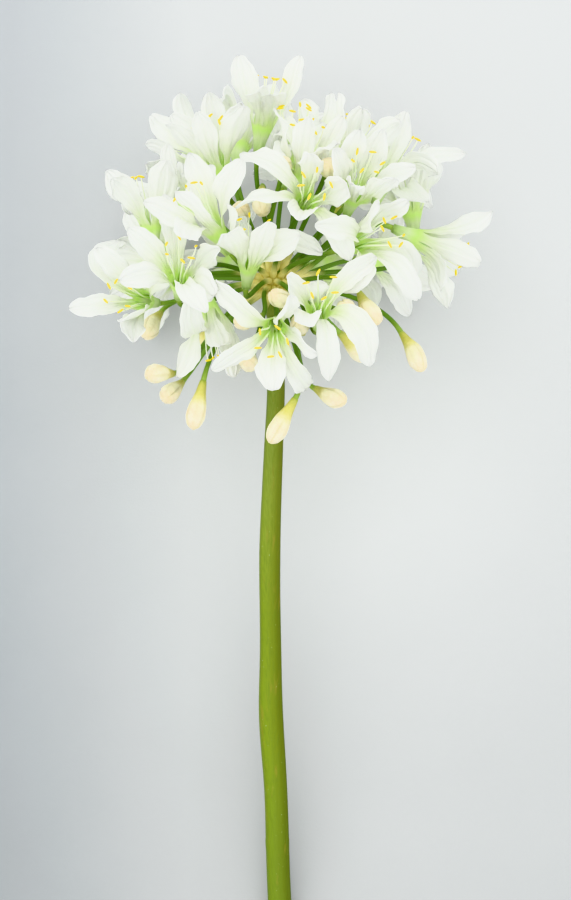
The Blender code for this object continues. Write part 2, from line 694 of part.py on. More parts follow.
def rod(name, points, radii, level, collection):
    """A rod with filled ends through the points, as a mesh object."""
    curve = bpy.data.curves.new(name, "CURVE")
    curve.dimensions = "3D"
    curve.bevel_depth = MM
    curve.bevel_resolution = level
    curve.use_fill_caps = True
    spline = curve.splines.new("POLY")
    spline.points.add(len(points) - 1)
    for knot, point, radius in zip(spline.points, points, radii):
        knot.co = (*(point * MM), 1.0)
        knot.radius = radius
    mesh = baked(new_object(name, curve, collection))
    bpy.data.curves.remove(curve)
    return new_object(name, mesh, collection)


def unite(body, others, name):
    """Joins closed pieces to the body in one solid."""
    tools = bpy.data.collections.new(name + "_parts")
    bpy.context.scene.collection.children.link(tools)
    for other in others:
        for owner in list(other.users_collection):
            owner.objects.unlink(other)
        tools.objects.link(other)
    join = body.modifiers.new("join", "BOOLEAN")
    join.operation = "UNION"
    join.operand_type = "COLLECTION"
    join.collection = tools
    join.solver = "MANIFOLD"
    home = body.users_collection[0]
    mesh = baked(body)
    for other in list(tools.objects):
        bpy.data.objects.remove(other)
    bpy.data.collections.remove(tools)
    return new_object(name, mesh, home)


def corolla(name, floret, petals, collection):
    """Tube and petals as one surface with thickness."""
    bm = bmesh.new()
    corners = [(math.cos(petal.left), math.sin(petal.left), -TUBE_LENGTH / TUBE_BASE) for petal in petals]
    foot = to_table(to_flower(np.array(corners) * TUBE_BASE, floret))
    grids = [petal_grid(petal, floret) for petal in petals]
    ring = [bm.verts.new(point * MM) for point in foot]
    throat = [bm.verts.new(grid[0] * MM) for grid in grids]
    bm.faces.new(ring[::-1])
    for k, grid in enumerate(grids):
        n = (k + 1) % PETALS
        bm.faces.new((ring[k], ring[n], throat[n], throat[k]))
        verts = [throat[k], throat[n]] + [bm.verts.new(point * MM) for point in grid[2:]]
        for face in blade_faces(2):
            bm.faces.new([verts[j] for j in face])
    bmesh.ops.recalc_face_normals(bm, faces=bm.faces)
    mesh = bpy.data.meshes.new(name)
    bm.to_mesh(mesh)
    bm.free()
    obj = new_object(name, mesh, collection)
    shell = obj.modifiers.new("thickness", "SOLIDIFY")
    shell.thickness = WALL * MM
    shell.offset = 0
    return obj


def inner_walls(bm, throat, along):
    """The faces of the tube's inside, halfway down, from the throat at along's start."""
    walls = []
    for face in bm.faces:
        if len(face.verts) != 4:
            continue
        middle = face.calc_center_median() - throat
        depth = -middle.dot(along) / (TUBE_LENGTH * MM)
        inwards = face.normal.dot(middle - along * middle.dot(along)) < 0
        if inwards and abs(face.normal.dot(along)) < 0.5 and 0.3 < depth < 0.7:
            walls.append(face)
    return walls


def on_wall(spot, way, wall):
    """The spot, moved along the way onto the wall's plane."""
    return spot + way * ((wall.calc_center_median() - spot).dot(wall.normal) / way.dot(wall.normal))


def stamen_foot(throat, along, out, side, wall):
    """Three points on the wall, two low ones and a high one."""
    low, high = STAMEN_FOOT
    spots = ((-1, low), (1, low), (0, high))
    return [on_wall(throat + (along * height + side * sideways * STAMEN_RADII[0]) * MM, out, wall)
            for sideways, height in spots]


def open_wall(bm, wall, along, side, foot):
    """Takes the wall's face away and closes it again around the stamen's foot."""
    low = sorted(wall.verts, key=lambda v: v.co.dot(along))
    low_left, low_right = sorted(low[:2], key=lambda v: v.co.dot(side))
    high_left, high_right = sorted(low[2:], key=lambda v: v.co.dot(side))
    bmesh.ops.delete(bm, geom=[wall], context="FACES_ONLY")
    a, b, c = foot
    bm.faces.new((low_left, low_right, b, a))
    bm.faces.new((low_right, high_right, c, b))
    bm.faces.new((high_left, low_left, a, c))
    bm.faces.new((high_right, high_left, c))


def add_stamens(mesh, floret, petals, lines):
    """Draws a three-sided club out of the tube's inner wall in front of each petal."""
    throat = Vector(to_table(floret.throat)[0] * MM)
    zero = to_table((0, 0, 0))[0]
    first, second, along = (Vector(to_table(v)[0] - zero) for v in axes_about(floret.axis))
    bm = bmesh.new()
    bm.from_mesh(mesh)
    walls = inner_walls(bm, throat, along)
    for petal, line in zip(petals, lines):
        out = first * math.cos(petal.angle) + second * math.sin(petal.angle)
        side = along.cross(out)
        wall = max(walls, key=lambda face: (face.calc_center_median() - throat).dot(out))
        walls.remove(wall)
        rings = [[bm.verts.new(spot) for spot in stamen_foot(throat, along, out, side, wall)]]
        for end, radius in zip(line, STAMEN_RADII):
            offsets = (-side - out * CLUB_SIDE, side - out * CLUB_SIDE, out * CLUB_RIDGE)
            rings.append([bm.verts.new(Vector(end * MM) + offset * radius * MM) for offset in offsets])
        for lower, upper in zip(rings, rings[1:]):
            for j in range(3):
                n = (j + 1) % 3
                bm.faces.new((lower[j], lower[n], upper[n], upper[j]))
        bm.faces.new(rings[-1])
        open_wall(bm, wall, along, side, rings[0])
    bmesh.ops.triangulate(bm, faces=bm.faces)
    bmesh.ops.recalc_face_normals(bm, faces=bm.faces)
    bm.to_mesh(mesh)
    bm.free()


def material(name, finish):
    made = bpy.data.materials.new(name)
    made.use_nodes = True
    shader = made.node_tree.nodes["Principled BSDF"]
    colour, rough = finish
    shader.inputs["Base Color"].default_value = (*colour, 1)
    shader.inputs["Roughness"].default_value = rough
    shader.inputs["Metallic"].default_value = 0
    made.diffuse_color = (*colour, 1)
    return made


def main():
    for obj in list(bpy.data.objects):
        bpy.data.objects.remove(obj)
    home = bpy.data.collections.new("agapanthus_flower_head")
    bpy.context.scene.collection.children.link(home)
    stem, stalks, stamens, petals, report = lay_out()
    for line in report:
        print("no clear way:", line)

    body = rod("stem", stem, [radius for _, _, radius in STEM], STEM_LEVEL, home)
    rods = [rod("stalk", curve, [STALK_RADIUS] * len(curve), STALK_LEVEL, home) for curve in stalks]
    scape = unite(body, rods, "scape")
    scape.data.materials.clear()
    scape.data.materials.append(material("scape", GREEN))

    for i, floret in enumerate(FLORETS):
        name = f"floret_{i + 1:02d}"
        mesh = baked(corolla(name, floret, petals[i], home))
        add_stamens(mesh, floret, petals[i], stamens[i])
        made = new_object(name, mesh, home)
        made.data.materials.append(material(name, WHITE))

    for i, bud in enumerate(BUDS):
        points, radii = bud_line(bud)
        made = rod(f"bud_{i + 1:02d}", points, radii, BUD_LEVEL, home)
        made.data.materials.append(material(made.name, CREAM))


main()
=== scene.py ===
"""Looks of the agapanthus flower head: thin petals, stamens, buds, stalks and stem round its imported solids.

The places and forms repeat those of the solids: the flower is described upright, in millimetres from the hub
at the top of the stem, across the view, along the stem and towards the viewer, and then laid on the table.
"""
import math
import random
from collections import namedtuple
from functools import lru_cache

import bpy
import numpy as np
from mathutils import Matrix, Vector
from mathutils.kdtree import KDTree


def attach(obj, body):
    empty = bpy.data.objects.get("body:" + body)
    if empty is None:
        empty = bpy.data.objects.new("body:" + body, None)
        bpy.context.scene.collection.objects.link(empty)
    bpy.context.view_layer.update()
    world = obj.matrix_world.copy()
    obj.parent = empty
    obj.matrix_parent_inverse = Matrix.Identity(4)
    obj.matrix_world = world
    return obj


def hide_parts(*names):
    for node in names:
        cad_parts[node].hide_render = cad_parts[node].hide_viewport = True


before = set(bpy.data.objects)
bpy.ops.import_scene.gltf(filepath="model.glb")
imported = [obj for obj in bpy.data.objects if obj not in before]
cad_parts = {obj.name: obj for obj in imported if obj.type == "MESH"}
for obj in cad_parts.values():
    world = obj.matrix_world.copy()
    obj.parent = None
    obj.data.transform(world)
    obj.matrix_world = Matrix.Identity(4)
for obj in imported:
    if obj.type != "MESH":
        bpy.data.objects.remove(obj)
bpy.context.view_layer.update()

# Lengths are in millimetres until a mesh is made
MM = 0.001
GAP = 0.3  # left between neighbours that touch
SOFT_BEND = 2.0  # height over the table at which a petal begins to bend, to lie flat on it

# How the flower lies: its stem rises from the table towards the head
LEAN = math.radians(12.5)
CENTRE = (3.0, -83.7)  # middle of the flower's box, which becomes the origin

# Stem: distance along it, sideways bend and radius
STEM = [
    (-262, 2.6, 4.7), (-235, 1.4, 4.7), (-203, 0.4, 4.6), (-170, -1.6, 4.8), (-147, -1.7, 4.3),
    (-107, -2.0, 4.2), (-67, -0.6, 3.8), (-43, 0.4, 3.6), (-12, 0.2, 3.7), (-4, 0.0, 5.4), (2, 0.0, 6.2),
    (6, 0.0, 4.6),
]
STEM_SIDES = 10  # of the solid

# Stalks: from the hub to each floret and bud
HUB_RADIUS = 5.2  # where they start, inside the hub
STALK_RADIUS = 1.15
STALK_STEPS = (0, 0.3, 0.6, 0.88, 1)  # where the solid stalk has its corners
ROOT_RISE = 0.45  # how much steeper than its end a stalk leaves the hub
ROOT_APART = 0.42  # between neighbouring roots, as a share of the hub's radius
ROOT_ROUNDS = 60
ROOT_PUSH = 0.3

# Floret: a tube that opens into six petals
PETALS = 6
TUBE_LENGTH = 11.0
TUBE_BASE = 1.7
TUBE_THROAT = 4.2
WALL = 0.7
PETAL_REACH = 30.0  # from the middle of the throat to the petal's tip
PETAL_HALF_WIDTHS = (6.1, 5.1)  # inner and outer petals
PETAL_START = math.radians(20)  # direction of a petal at the throat, off the tube's axis
FLARED = 0.8  # share of the petal's length where it has its full flare
WIDEST = 0.63  # share of its length where it is widest
FOOT_WIDTH = 0.3  # at the throat, as a share of the widest
NARROW_FOOT = 2.1  # the greater, the longer the foot stays narrow
BLUNT_TIP = 2.0  # the greater, the longer it stays wide
TIP_TAPER = 0.62  # the greater, the more pointed the tip
FOOT_LENGTH = 0.25  # share of the length where the tube's ring becomes the blade
TWISTED = 0.6  # share of the length where it has its full twist
SWING_START = 1.5  # the greater, the later a petal leans sideways
CHECKED_ROWS = (0.62, 0.88)  # shares of the length where the solid has its outer corners
CUP = 0.22  # how far the petal's edges rise over its midrib, as a share of its half width
STAMEN_LENGTH = 18.0
STAMEN_KNEE = (2.2, 1.5)  # radius and height where it comes out of the throat
STAMEN_CLUB = 0.58  # radius of the solid stamen's end
STAMEN_FOOT = -5.3  # height of its foot in the tube
CLUB_RIDGE = 1.155  # how far a solid stamen's corners are from its middle, as a share of its radius

# Buds
BUD_LENGTH = 20.0
BUD_SHAPE = [(0.0, 1.3), (0.25, 2.1), (0.5, 3.5), (0.75, 3.9), (0.93, 2.6), (1.0, 1.1)]

# Fine form, which the solids leave out
GOOD_FIT = 0.06  # as near as a corner of the solid is to where it is looked for
SKIN = 0.3  # thickness of a petal
PETAL_STEPS = 26
PETAL_COLUMNS = 18
TIP_CROWDING = 1.6  # the greater, the closer the rows are at the tip
SLIMNESS = (0.8, 0.98)  # of the solid petal's width
POINTEDNESS = (-0.1, 0.1)  # how much narrower a petal ends than its solid
MARGIN_WAVES = ((0.06, 1.2), (0.045, 2.9), (0.03, 6.1))  # size, and waves along the margin
RUFFLE = (0.5, 1.4)  # how far a petal's margin waves up and down
RUFFLE_WAVES = ((1, 1.1, 2.3), (0.25, 3.5, 5))  # share of that, and fewest and most waves
WOBBLE = (-0.7, 0.7)  # how far the blade rocks from side to side
PLEAT = 0.36  # height of the few broad folds along a petal
CREASE = 0.1  # and of the finer ones
PLEATS = (2.4, 4.0)  # half folds from edge to edge
CREASES = (4.8, 5.8)
RIB = 0.3  # depth of the midrib's groove
RIB_WIDTH = 0.16  # as a share of the half width
SWAY = (-0.5, 0.5)  # the blade's slow waves
FOLD = (-0.9, 0.9)  # how far its halves are folded up or down
ROLL = (-1.1, 1.1)  # how far its margins roll
TIP_CURL = (-1.8, 0.8)  # the tip bends back, or a little in
NIB = (-1.4, 0.5)  # the tip's middle is notched or drawn out
NIB_WIDTH = 2.0
TUBE_STEPS = 7
TUBE_FLARE = 1.4
TUBE_FLUTES = 0.06
THREAD_ROOT = 2.5  # a stamen's thread: how far from the axis it leaves the tube's wall
THREAD_RADII = (0.34, 0.2)
THREAD_STEPS = 11
THREAD_SIDES = 6
ANTHER_LENGTH = 3.0
ANTHER_RADIUS = 0.44
ANTHER_STEPS = 9
ANTHER_SIDES = 8
BUD_STEPS = 26
BUD_SIDES = 36
BUD_SEAM = 0.13
BUD_CREASE = 0.05
BUD_LUMP = 0.065
BUD_ROUNDING = (0.97, 0.86, 0.55)  # of its last rings
STALK_FLARE = 0.45  # how much thicker a stalk is where it leaves the hub
STALK_RINGS = 26
STALK_ROUND = 12
STEM_RINGS = 150
HUB_RINGS = 22
STEM_ROUND = 64
STEM_RIB = 0.011  # height of the stem's ribs, as a share of its radius
NODE_PLACE = -223.0  # a faint ring round the stem
NODE_SWELL = 0.03
BRACT_WIDTH = 4.6
BRACT_FOOT = (5.0, -3.5)  # how far from the stem's middle it starts, and how high
BRACT_FLARE = 1.5  # how much further out it ends
BRACT_ROUND = 5.6  # distance from the stem's middle at which it has its width
BRACT_INSIDE = 0.93  # distance of its inner face, as a share of the outer one's
BRACTS = ((0.15, 13.5), (2.4, 10.0), (4.3, 11.5))  # turn round the hub, and height

# Camera: where it stands, upright, and its lens
EYE = (4.2, -66.0, 1500.0)
LENS = 100.0
FRAME_HEIGHT = 24.0

# throat: middle of the throat. axis: where the tube points. opening: angle off the axis of the petals that
# have no place of their own. tips: where single petals end, across and along from the throat, whether they
# come towards the viewer (1), go back (-1) or are short (0), and the degrees their faces are turned away.
Floret = namedtuple("Floret", "throat axis opening tips")
FLORETS = [Floret(*row) for row in [
    ((0, -19, 55), (-0.05, -0.3, 0.95), 60,
     [(14, -24, -1), (-1, -23, 1), (-24, -17, 1, 45), (-23, 18, 1, 40), (6, 11, 1, 60), (15, -11, 1, 50)]),
    ((17, -13, 54), (0.05, 0.5, 0.85), 65,
     [(23, 22, 1), (-12, 13, 1), (20, -21, 1), (4, -27, 1), (-2, 12, 0), (-6, -5, 1, 60)]),
    ((-37, 0, 44), (0.05, 0.58, 0.81), 60,
     [(-6, 35, 1), (-19, 19, 1), (-22, -1, 1), (11, -13, 1), (16, -1, 1), (16, 11, 1)]),
    ((-23, 19, 49), (-0.53, 0.75, 0.4), 40,
     [(-10, 30, 1), (-2, 27, -1), (11, 27, 1), (-15, 13, 1, 60), (-10, -5, 1)]),
    ((-10, 6, 45), (0.1, 0.75, 0.6), 35,
     [(-8, 11, 1), (20, 10, 1), (28, 1, 1), (-4, 19, 0, 60), (8, 15, 1)]),
    ((12, 30, 46), (0.2, 0.3, 0.93), 60,
     [(-25, 19, 1, 50), (-28, -2, 1, 65), (-3, -8, 1), (17, -23, 1), (3, 15, 1), (16, 6, 1)]),
    ((32, 14, 45), (0.7, 0.2, 0.68), 45,
     [(-5, 11, 1), (24, -22, 1), (19, 15, 1), (21, -17, -1), (8, 14, 1, 70)]),
    ((31, 33, 44), (0.25, 0.62, 0.75), 45, [(11, 25, 1), (15, 5, 1)]),
    ((-52, -7, 20), (-0.45, 0.05, 0.85), 65,
     [(-29, -3, 1), (-18, 20, 1), (-6, 22, -1), (-3, -17, 1), (-8, -8, 1)]),
    ((11, 43, 35), (0.1, 0.85, 0.5), 25, [(2, 20, 1), (9, 20, -1), (-5, 14, -1), (12, 10, 1)]),
    ((28, 46, 21), (0.2, 0.7, -0.1), 35, [(6, 20, 1), (3, 17, -1), (-6, 14, -1), (7, 7, -1)]),
    ((-5, 63, 5), (0.17, 0.98, 0.1), 35,
     [(-9, 28, 1), (14, 29, -1), (-3, 14, -1), (9, 15, -1), (-3, 12, 1), (7, 12, 1)]),
    ((-22, 46, 20), (-0.25, 0.85, 0.45), 30, [(-8, 22, 1), (1, 26, 1), (11, 22, 1)]),
    ((57, 18, 5), (0.8, -0.35, -0.1), 40, [(30, 11, 1), (24, -10, 1), (8, -21, 1), (13, -27, -1)]),
    ((44, 42, 6), (0.35, 0.85, 0.1), 40, [(8, 26, 1), (32, 10, -1), (12, 8, -1)]),
    ((-49, 23, 15), (-0.1, 0.95, 0.1), 25, [(5, 33, 1), (-15, 18, 1), (-9, 18, -1), (8, 20, -1)]),
    ((-26, -11, 30), (0.2, -0.95, 0.1), 30,
     [(-12, -27, 1, 30), (6, -16, 1), (11, -17, -1), (3, -13, -1), (10, -24, 1), (-3, -9, 1)]),
    ((55, 30, -10), (-0.1, 0.9, 0.1), 25, [(-8, 18, 1), (7, 17, 1), (8, 4, -1), (-4, 14, -1)]),
    ((8, 51, 11), (0.0, 0.9, 0.3), 25,
     [(-3, 18, 1), (-9, 12, 0), (4, 18, 0), (-8, 17, 0), (8, 12, 0), (0, 19, 0)]),
    ((-28, 52, -15), (-0.55, 0.45, -0.6), 25, [(-22, 10, -1, 70), (-11, 18, -1, 40), (-11, -2, -1)]),
    ((17, 55, -10), (0.1, 0.3, -0.9), 28, [(6, 24, -1, 70), (-7, 9, -1), (10, 8, -1)]),
    ((-15, 57, -27), (0.05, 0.7, -0.7), 30, [(-7, 18, 1), (-8, 9, -1)]),
    ((-44, 9, -16), (-0.5, 0.3, -0.75), 40, []),
    ((-34, 34, -36), (-0.6, 0.4, -0.65), 45, []),
    ((33, 38, -30), (0.4, 0.45, -0.75), 40, []),
    ((4, 48, -38), (0.1, 0.7, -0.7), 50, []),
    ((-42, 5, -40), (-0.65, 0.05, -0.75), 55, []),
    ((40, 12, -38), (0.65, 0.05, -0.75), 55, []),
    ((-17, 12, -50), (-0.4, 0.2, -0.85), 75, []),
    ((19, 10, -50), (0.45, 0.05, -0.87), 75, []),
]]

# neck: where the bud meets its stalk. tip: where it points, across and along from the neck, and towards the
# viewer (1) or back (-1)
Bud = namedtuple("Bud", "neck tip")
BUDS = [Bud(*row) for row in [
    ((8, -46, 45), (-11, -19, 1)), ((-28, -39, 30), (-4, -19, 1)), ((50, -20, 20), (8, -15, 1)),
    ((33, -5, 42), (7, -12, 1)), ((16, -42, 30), (11, -5, 1)), ((-40, -36, 28), (-9, -1, 1)),
    ((-37, -39, 9), (-6, -7, 1)), ((-10, -34, 34), (0, 3, 1)), ((-6, -14, 40), (-8, -3, 1)),
    ((28, -12, 40), (0, 1, 1)), ((11, -20, 28), (-2, 4, 1)), ((8, -9, 41), (-9, 3, 1)),
    ((20, 42, 35), (1, 2, 1)), ((3, 43, 31), (0, 2, 1)), ((-5, 38, 12), (0, -11, 1)),
    ((-12, 26, 4), (-2, 4, 1)), ((-46, -11, -5), (-5, -10, 1)), ((-24, -16, -28), (-11, -10, -1)),
    ((26, -18, -28), (11, -11, -1)), ((2, -16, -34), (2, -14, -1)), ((24, 30, -34), (7, 10, -1)),
]]


def unit(v):
    v = np.asarray(v, float)
    return v / np.linalg.norm(v)


def units(v):
    """Each of the vectors, at length 1."""
    return v / np.linalg.norm(v, axis=-1, keepdims=True)


def hub_height():
    """The lowest side of the cut end touches the table."""
    along, _, radius = STEM[0]
    return -along * math.sin(LEAN) + radius * math.cos(math.pi / STEM_SIDES) * math.cos(LEAN)


def to_table(points):
    """Upright flower to lying flower, with the table at height 0."""
    p = np.atleast_2d(np.asarray(points, float))
    out = np.empty_like(p)
    out[:, 0] = p[:, 0] - CENTRE[0]
    out[:, 1] = p[:, 1] * math.cos(LEAN) - p[:, 2] * math.sin(LEAN) - CENTRE[1]
    out[:, 2] = p[:, 1] * math.sin(LEAN) + p[:, 2] * math.cos(LEAN) + hub_height()
    return out


def settle(points, floor):
    """Presses what would go below the floor flat on it, with a soft bend just above."""
    over = points[:, 2] - floor
    bend = (over + SOFT_BEND) ** 2 / (4 * SOFT_BEND)
    height = np.where(over <= -SOFT_BEND, 0, np.where(over < SOFT_BEND, bend, over))
    return np.column_stack((points[:, :2], floor + height))


def within(x, most):
    return min(max(x, -most), most)


def smooth(x):
    x = np.clip(x, 0, 1)
    return x * x * (3 - 2 * x)


# The petal's form

UP = np.array((0.0, 0.0, 1.0))  # towards the viewer, or along a floret's own axis
LINE_STEPS = 24  # of a petal's middle line
AIM_ROUNDS = 3
AIM_HALVINGS = 18
FLARES = (-0.6, 3.3)  # least and greatest direction of a petal's tip, off the tube's axis
MOST_SHIFT = math.radians(12)  # a petal's foot, off its even place round the throat
MOST_SWING = math.radians(30)  # its tip, off its foot
MOST_TWIST = math.radians(52)
LEAST_OPEN = math.radians(18)
MOST_OPEN = math.radians(105)
LONGEST = 1.12 * PETAL_REACH
TURNS = 24  # turns of a floret round its tube that are tried

# What differs from petal to petal, where the table leaves it open
OPENING_SPREAD = 9  # degrees either way
ANGLE_SPREAD = 6
TWIST_SPREAD = 8
REACH_SPREAD = (0.93, 1.04)

# angle: round the axis. left, right: where its share of the throat ends. opening: of its tip off the axis.
# swing: how far the tip leans sideways. half_width, twist: of the blade.
Petal = namedtuple("Petal", "angle left right opening reach swing half_width twist")


def axes_about(axis):
    """Two directions square to the axis; the first is as level with the view as can be."""
    axis = unit(axis)
    side = UP if abs(axis[2]) < 0.9 else np.array((0.0, 1.0, 0.0))
    first = unit(np.cross(side, axis))
    return first, np.cross(axis, first), axis


def petal_line(flare, length):
    """Radius, height and direction along a petal that leaves the throat steeply and bends out to flare."""
    s = (np.arange(LINE_STEPS) + 0.5) / LINE_STEPS
    phi = PETAL_START + (flare - PETAL_START) * smooth(s / FLARED)
    radius = TUBE_THROAT + np.concatenate(([0], np.cumsum(np.sin(phi)))) * length / LINE_STEPS
    height = np.concatenate(([0], np.cumsum(np.cos(phi)))) * length / LINE_STEPS
    return radius, height, np.concatenate(([PETAL_START], phi))


@lru_cache(maxsize=None)
def aim_petal(opening, reach):
    """The petal line whose tip has this angle off the axis and this distance from the throat."""
    length = reach
    for _ in range(AIM_ROUNDS):
        low, high = FLARES
        for _ in range(AIM_HALVINGS):
            flare = (low + high) / 2
            radius, height, _ = petal_line(flare, length)
            if math.atan2(radius[-1], height[-1]) < opening:
                low = flare
            else:
                high = flare
        length *= reach / math.hypot(radius[-1], height[-1])
    return petal_line(flare, length)


def spoke(angle):
    """Direction out from a floret's axis."""
    return np.stack((np.cos(angle), np.sin(angle), np.zeros_like(angle)), -1)


def petal_width(s):
    """Half width along a petal, as a share of its widest."""
    rise = FOOT_WIDTH + (1 - FOOT_WIDTH) * np.sin(np.pi / 2 * np.clip(s / WIDEST, 0, 1)) ** NARROW_FOOT
    fall = (1 - np.clip((s - WIDEST) / (1 - WIDEST), 0, 1) ** BLUNT_TIP) ** TIP_TAPER
    return np.where(s < WIDEST, rise, fall)


def petal_point(petal, s, t):
    """Points of the petal's middle surface: s runs from the throat to the tip, t from edge to edge."""
    radius, height, phi = aim_petal(petal.opening, petal.reach)
    knots = np.linspace(0, 1, len(radius))
    r, h, p = (np.interp(s, knots, values)[..., None] for values in (radius, height, phi))
    out = spoke(petal.angle + petal.swing * s ** SWING_START)
    side = np.cross(UP, out)
    inward = -np.cos(p) * out + np.sin(p) * UP
    twist = (petal.twist * smooth(s / TWISTED))[..., None]
    across = side * np.cos(twist) + inward * np.sin(twist)
    rise = inward * np.cos(twist) - side * np.sin(twist)
    half = (petal.half_width * petal_width(s))[..., None]
    blade = r * out + h * UP + (t[..., None] * across + CUP * t[..., None] ** 2 * rise) * half
    ring = petal.left + (petal.right - petal.left) * (t + 1) / 2
    throat = spoke(ring) * TUBE_THROAT
    blend = smooth(s / FOOT_LENGTH)[..., None]
    foot = throat + h * UP + (r - TUBE_THROAT) * out
    return foot * (1 - blend) + blade * blend


def wrap(angle):
    return (angle + math.pi) % (2 * math.pi) - math.pi


def circle(sides):
    """Angles evenly round a circle."""
    return np.arange(sides) * 2 * math.pi / sides


def facing_twist(petal, floret, turned):
    """Twist that turns the blade's broad side to the light from the viewer's side, and then turns it away."""
    light = np.stack(axes_about(floret.axis)) @ UP
    _, _, phi = aim_petal(petal.opening, petal.reach)
    steep = phi[int(len(phi) * WIDEST)]
    out = spoke(petal.angle + petal.swing / 2)
    side = np.cross(UP, out)
    inward = math.sin(steep) * UP - math.cos(steep) * out
    twist = math.atan2(-(light @ side), light @ inward)
    if abs(twist) > math.pi / 2:
        twist -= math.copysign(math.pi, twist)
    twist -= math.copysign(turned, twist)
    return within(twist, MOST_TWIST)


def petals_of(floret, seed):
    """The six petals as the table asks for them, each at its place round the throat."""
    first, second, axis = axes_about(floret.axis)
    draw = random.Random(seed)
    wanted = []
    for across, along, towards, *turned in floret.tips:
        reach = math.hypot(across, along)
        depth = towards * math.sqrt(max(PETAL_REACH ** 2 - reach ** 2, 0))
        d = np.array((across, along, depth))
        reach = min(float(np.linalg.norm(d)), LONGEST)
        opening = min(max(math.acos(np.clip(unit(d) @ axis, -1, 1)), LEAST_OPEN), MOST_OPEN)
        wanted.append((math.atan2(d @ second, d @ first), opening, reach, math.radians(sum(turned))))

    def seating(roll):
        """How far the wanted petals are off their places at this roll, and which place each one takes."""
        slots, cost = {}, 0.0
        for k, (angle, *_) in enumerate(wanted):
            order = sorted(range(PETALS), key=lambda i: abs(wrap(angle - roll - i * math.pi / 3)))
            slot = next(i for i in order if i not in slots)
            slots[slot] = k
            cost += wrap(angle - roll - slot * math.pi / 3) ** 2
        return cost, roll, slots

    rolls = [step * 2 * math.pi / PETALS / TURNS for step in range(TURNS)]
    _, roll, slots = min(map(seating, rolls), key=lambda found: found[0])
    angles, forms = [], []
    for i in range(PETALS):
        middle = roll + i * math.pi / 3
        opening = math.radians(floret.opening + draw.uniform(-OPENING_SPREAD, OPENING_SPREAD))
        reach = PETAL_REACH * draw.uniform(*REACH_SPREAD)
        off = math.radians(draw.uniform(-ANGLE_SPREAD, ANGLE_SPREAD))
        turned = 0.0
        if i in slots:
            angle, opening, reach, turned = wanted[slots[i]]
            off = wrap(angle - middle)
        shift = within(off, MOST_SHIFT)
        angles.append(middle + shift)
        forms.append((opening, reach, within(off - shift, MOST_SWING), turned))
    petals = []
    for i, (opening, reach, swing, turned) in enumerate(forms):
        before = angles[i - 1] - (2 * math.pi if i == 0 else 0)
        after = angles[(i + 1) % PETALS] + (2 * math.pi if i == PETALS - 1 else 0)
        petal = Petal(angles[i], (before + angles[i]) / 2, (angles[i] + after) / 2, opening, reach,
                      swing, PETAL_HALF_WIDTHS[i % 2], 0.0)
        twist = facing_twist(petal, floret, turned)
        twist += math.radians(draw.uniform(-TWIST_SPREAD, TWIST_SPREAD))
        petals.append(petal._replace(twist=twist))
    return petals


# Ways to bend a petal clear of its neighbours: lift and swing in degrees, and shares of its length and twist
LIFTS = (0, 12, -12, 24, -24, 36, -36, 50, -50, 65, -65)
SWINGS = (0, 9, -9, 18, -18, 27, -27)
SHORTER = (1.0, 0.87, 0.74, 0.6, 0.48)
FLATTER = (1.0, 0.6, 0.2, -0.3)
BENT_OPEN = (math.radians(14), math.radians(118))
SHORTER_COST = 20
FLATTER_COST = 2


def bend_cost(way):
    """How far from the wanted petal; a step of lift or swing counts 1."""
    lift, swing, shorter, flatter = way
    steps = abs(lift) / LIFTS[1] + abs(swing) / SWINGS[1]
    return steps + (1 - shorter) * SHORTER_COST + (1 - flatter) * FLATTER_COST


BENDS = sorted(((lift, swing, shorter, flatter) for shorter in SHORTER for lift in LIFTS for swing in SWINGS
                for flatter in FLATTER), key=bend_cost)


def bends(petal):
    """The petal as it is wanted, then bent a little and more, to be clear of what is there already."""
    for lift, swing, shorter, flatter in BENDS:
        opening = petal.opening + math.radians(lift)
        if BENT_OPEN[0] <= opening <= BENT_OPEN[1]:
            yield petal._replace(opening=opening, swing=petal.swing + math.radians(swing),
                                 reach=petal.reach * shorter, twist=petal.twist * flatter)


def laid(points, floret):
    """From the floret's own frame, with the throat at 0 and its axis up, to the lying flower."""
    return to_table(points @ np.stack(axes_about(floret.axis)) + floret.throat)


def petal_corners(petal, floret):
    """The outer corners of the solid petal, two rows of three and the tip, lying."""
    s = np.append(np.repeat(CHECKED_ROWS, 3), 1.0)
    t = np.append(np.tile((-1.0, 0.0, 1.0), len(CHECKED_ROWS)), 0.0)
    return settle(laid(petal_point(petal, s, t), floret), WALL / 2)


def bud_direction(bud):
    across, along, towards = bud.tip
    depth = towards * math.sqrt(max(BUD_LENGTH ** 2 - across ** 2 - along ** 2, 0))
    return unit((across, along, depth))


def stalk_roots(ends):
    """Spread the stalks' feet over the hub's dome, each towards its own end."""
    ways = np.array([unit(unit(end) + np.array((0, ROOT_RISE, 0))) for end in ends])
    itself = np.eye(len(ways)) * 10  # so far that a root isn't pushed by itself
    for _ in range(ROOT_ROUNDS):
        apart = ways[:, None] - ways[None]
        distance = np.linalg.norm(apart, axis=2) + itself
        push = (apart / distance[..., None] * np.clip(ROOT_APART - distance, 0, None)[..., None]).sum(1)
        ways = units(ways + ROOT_PUSH * push)
    return ways


def eased_line(u, start, out, end, into):
    """From start to end, leaving along out and arriving along into."""
    return ((2 * u ** 3 - 3 * u ** 2 + 1) * start + (u ** 3 - 2 * u ** 2 + u) * out
            + (3 * u ** 2 - 2 * u ** 3) * end + (u ** 3 - u ** 2) * into)


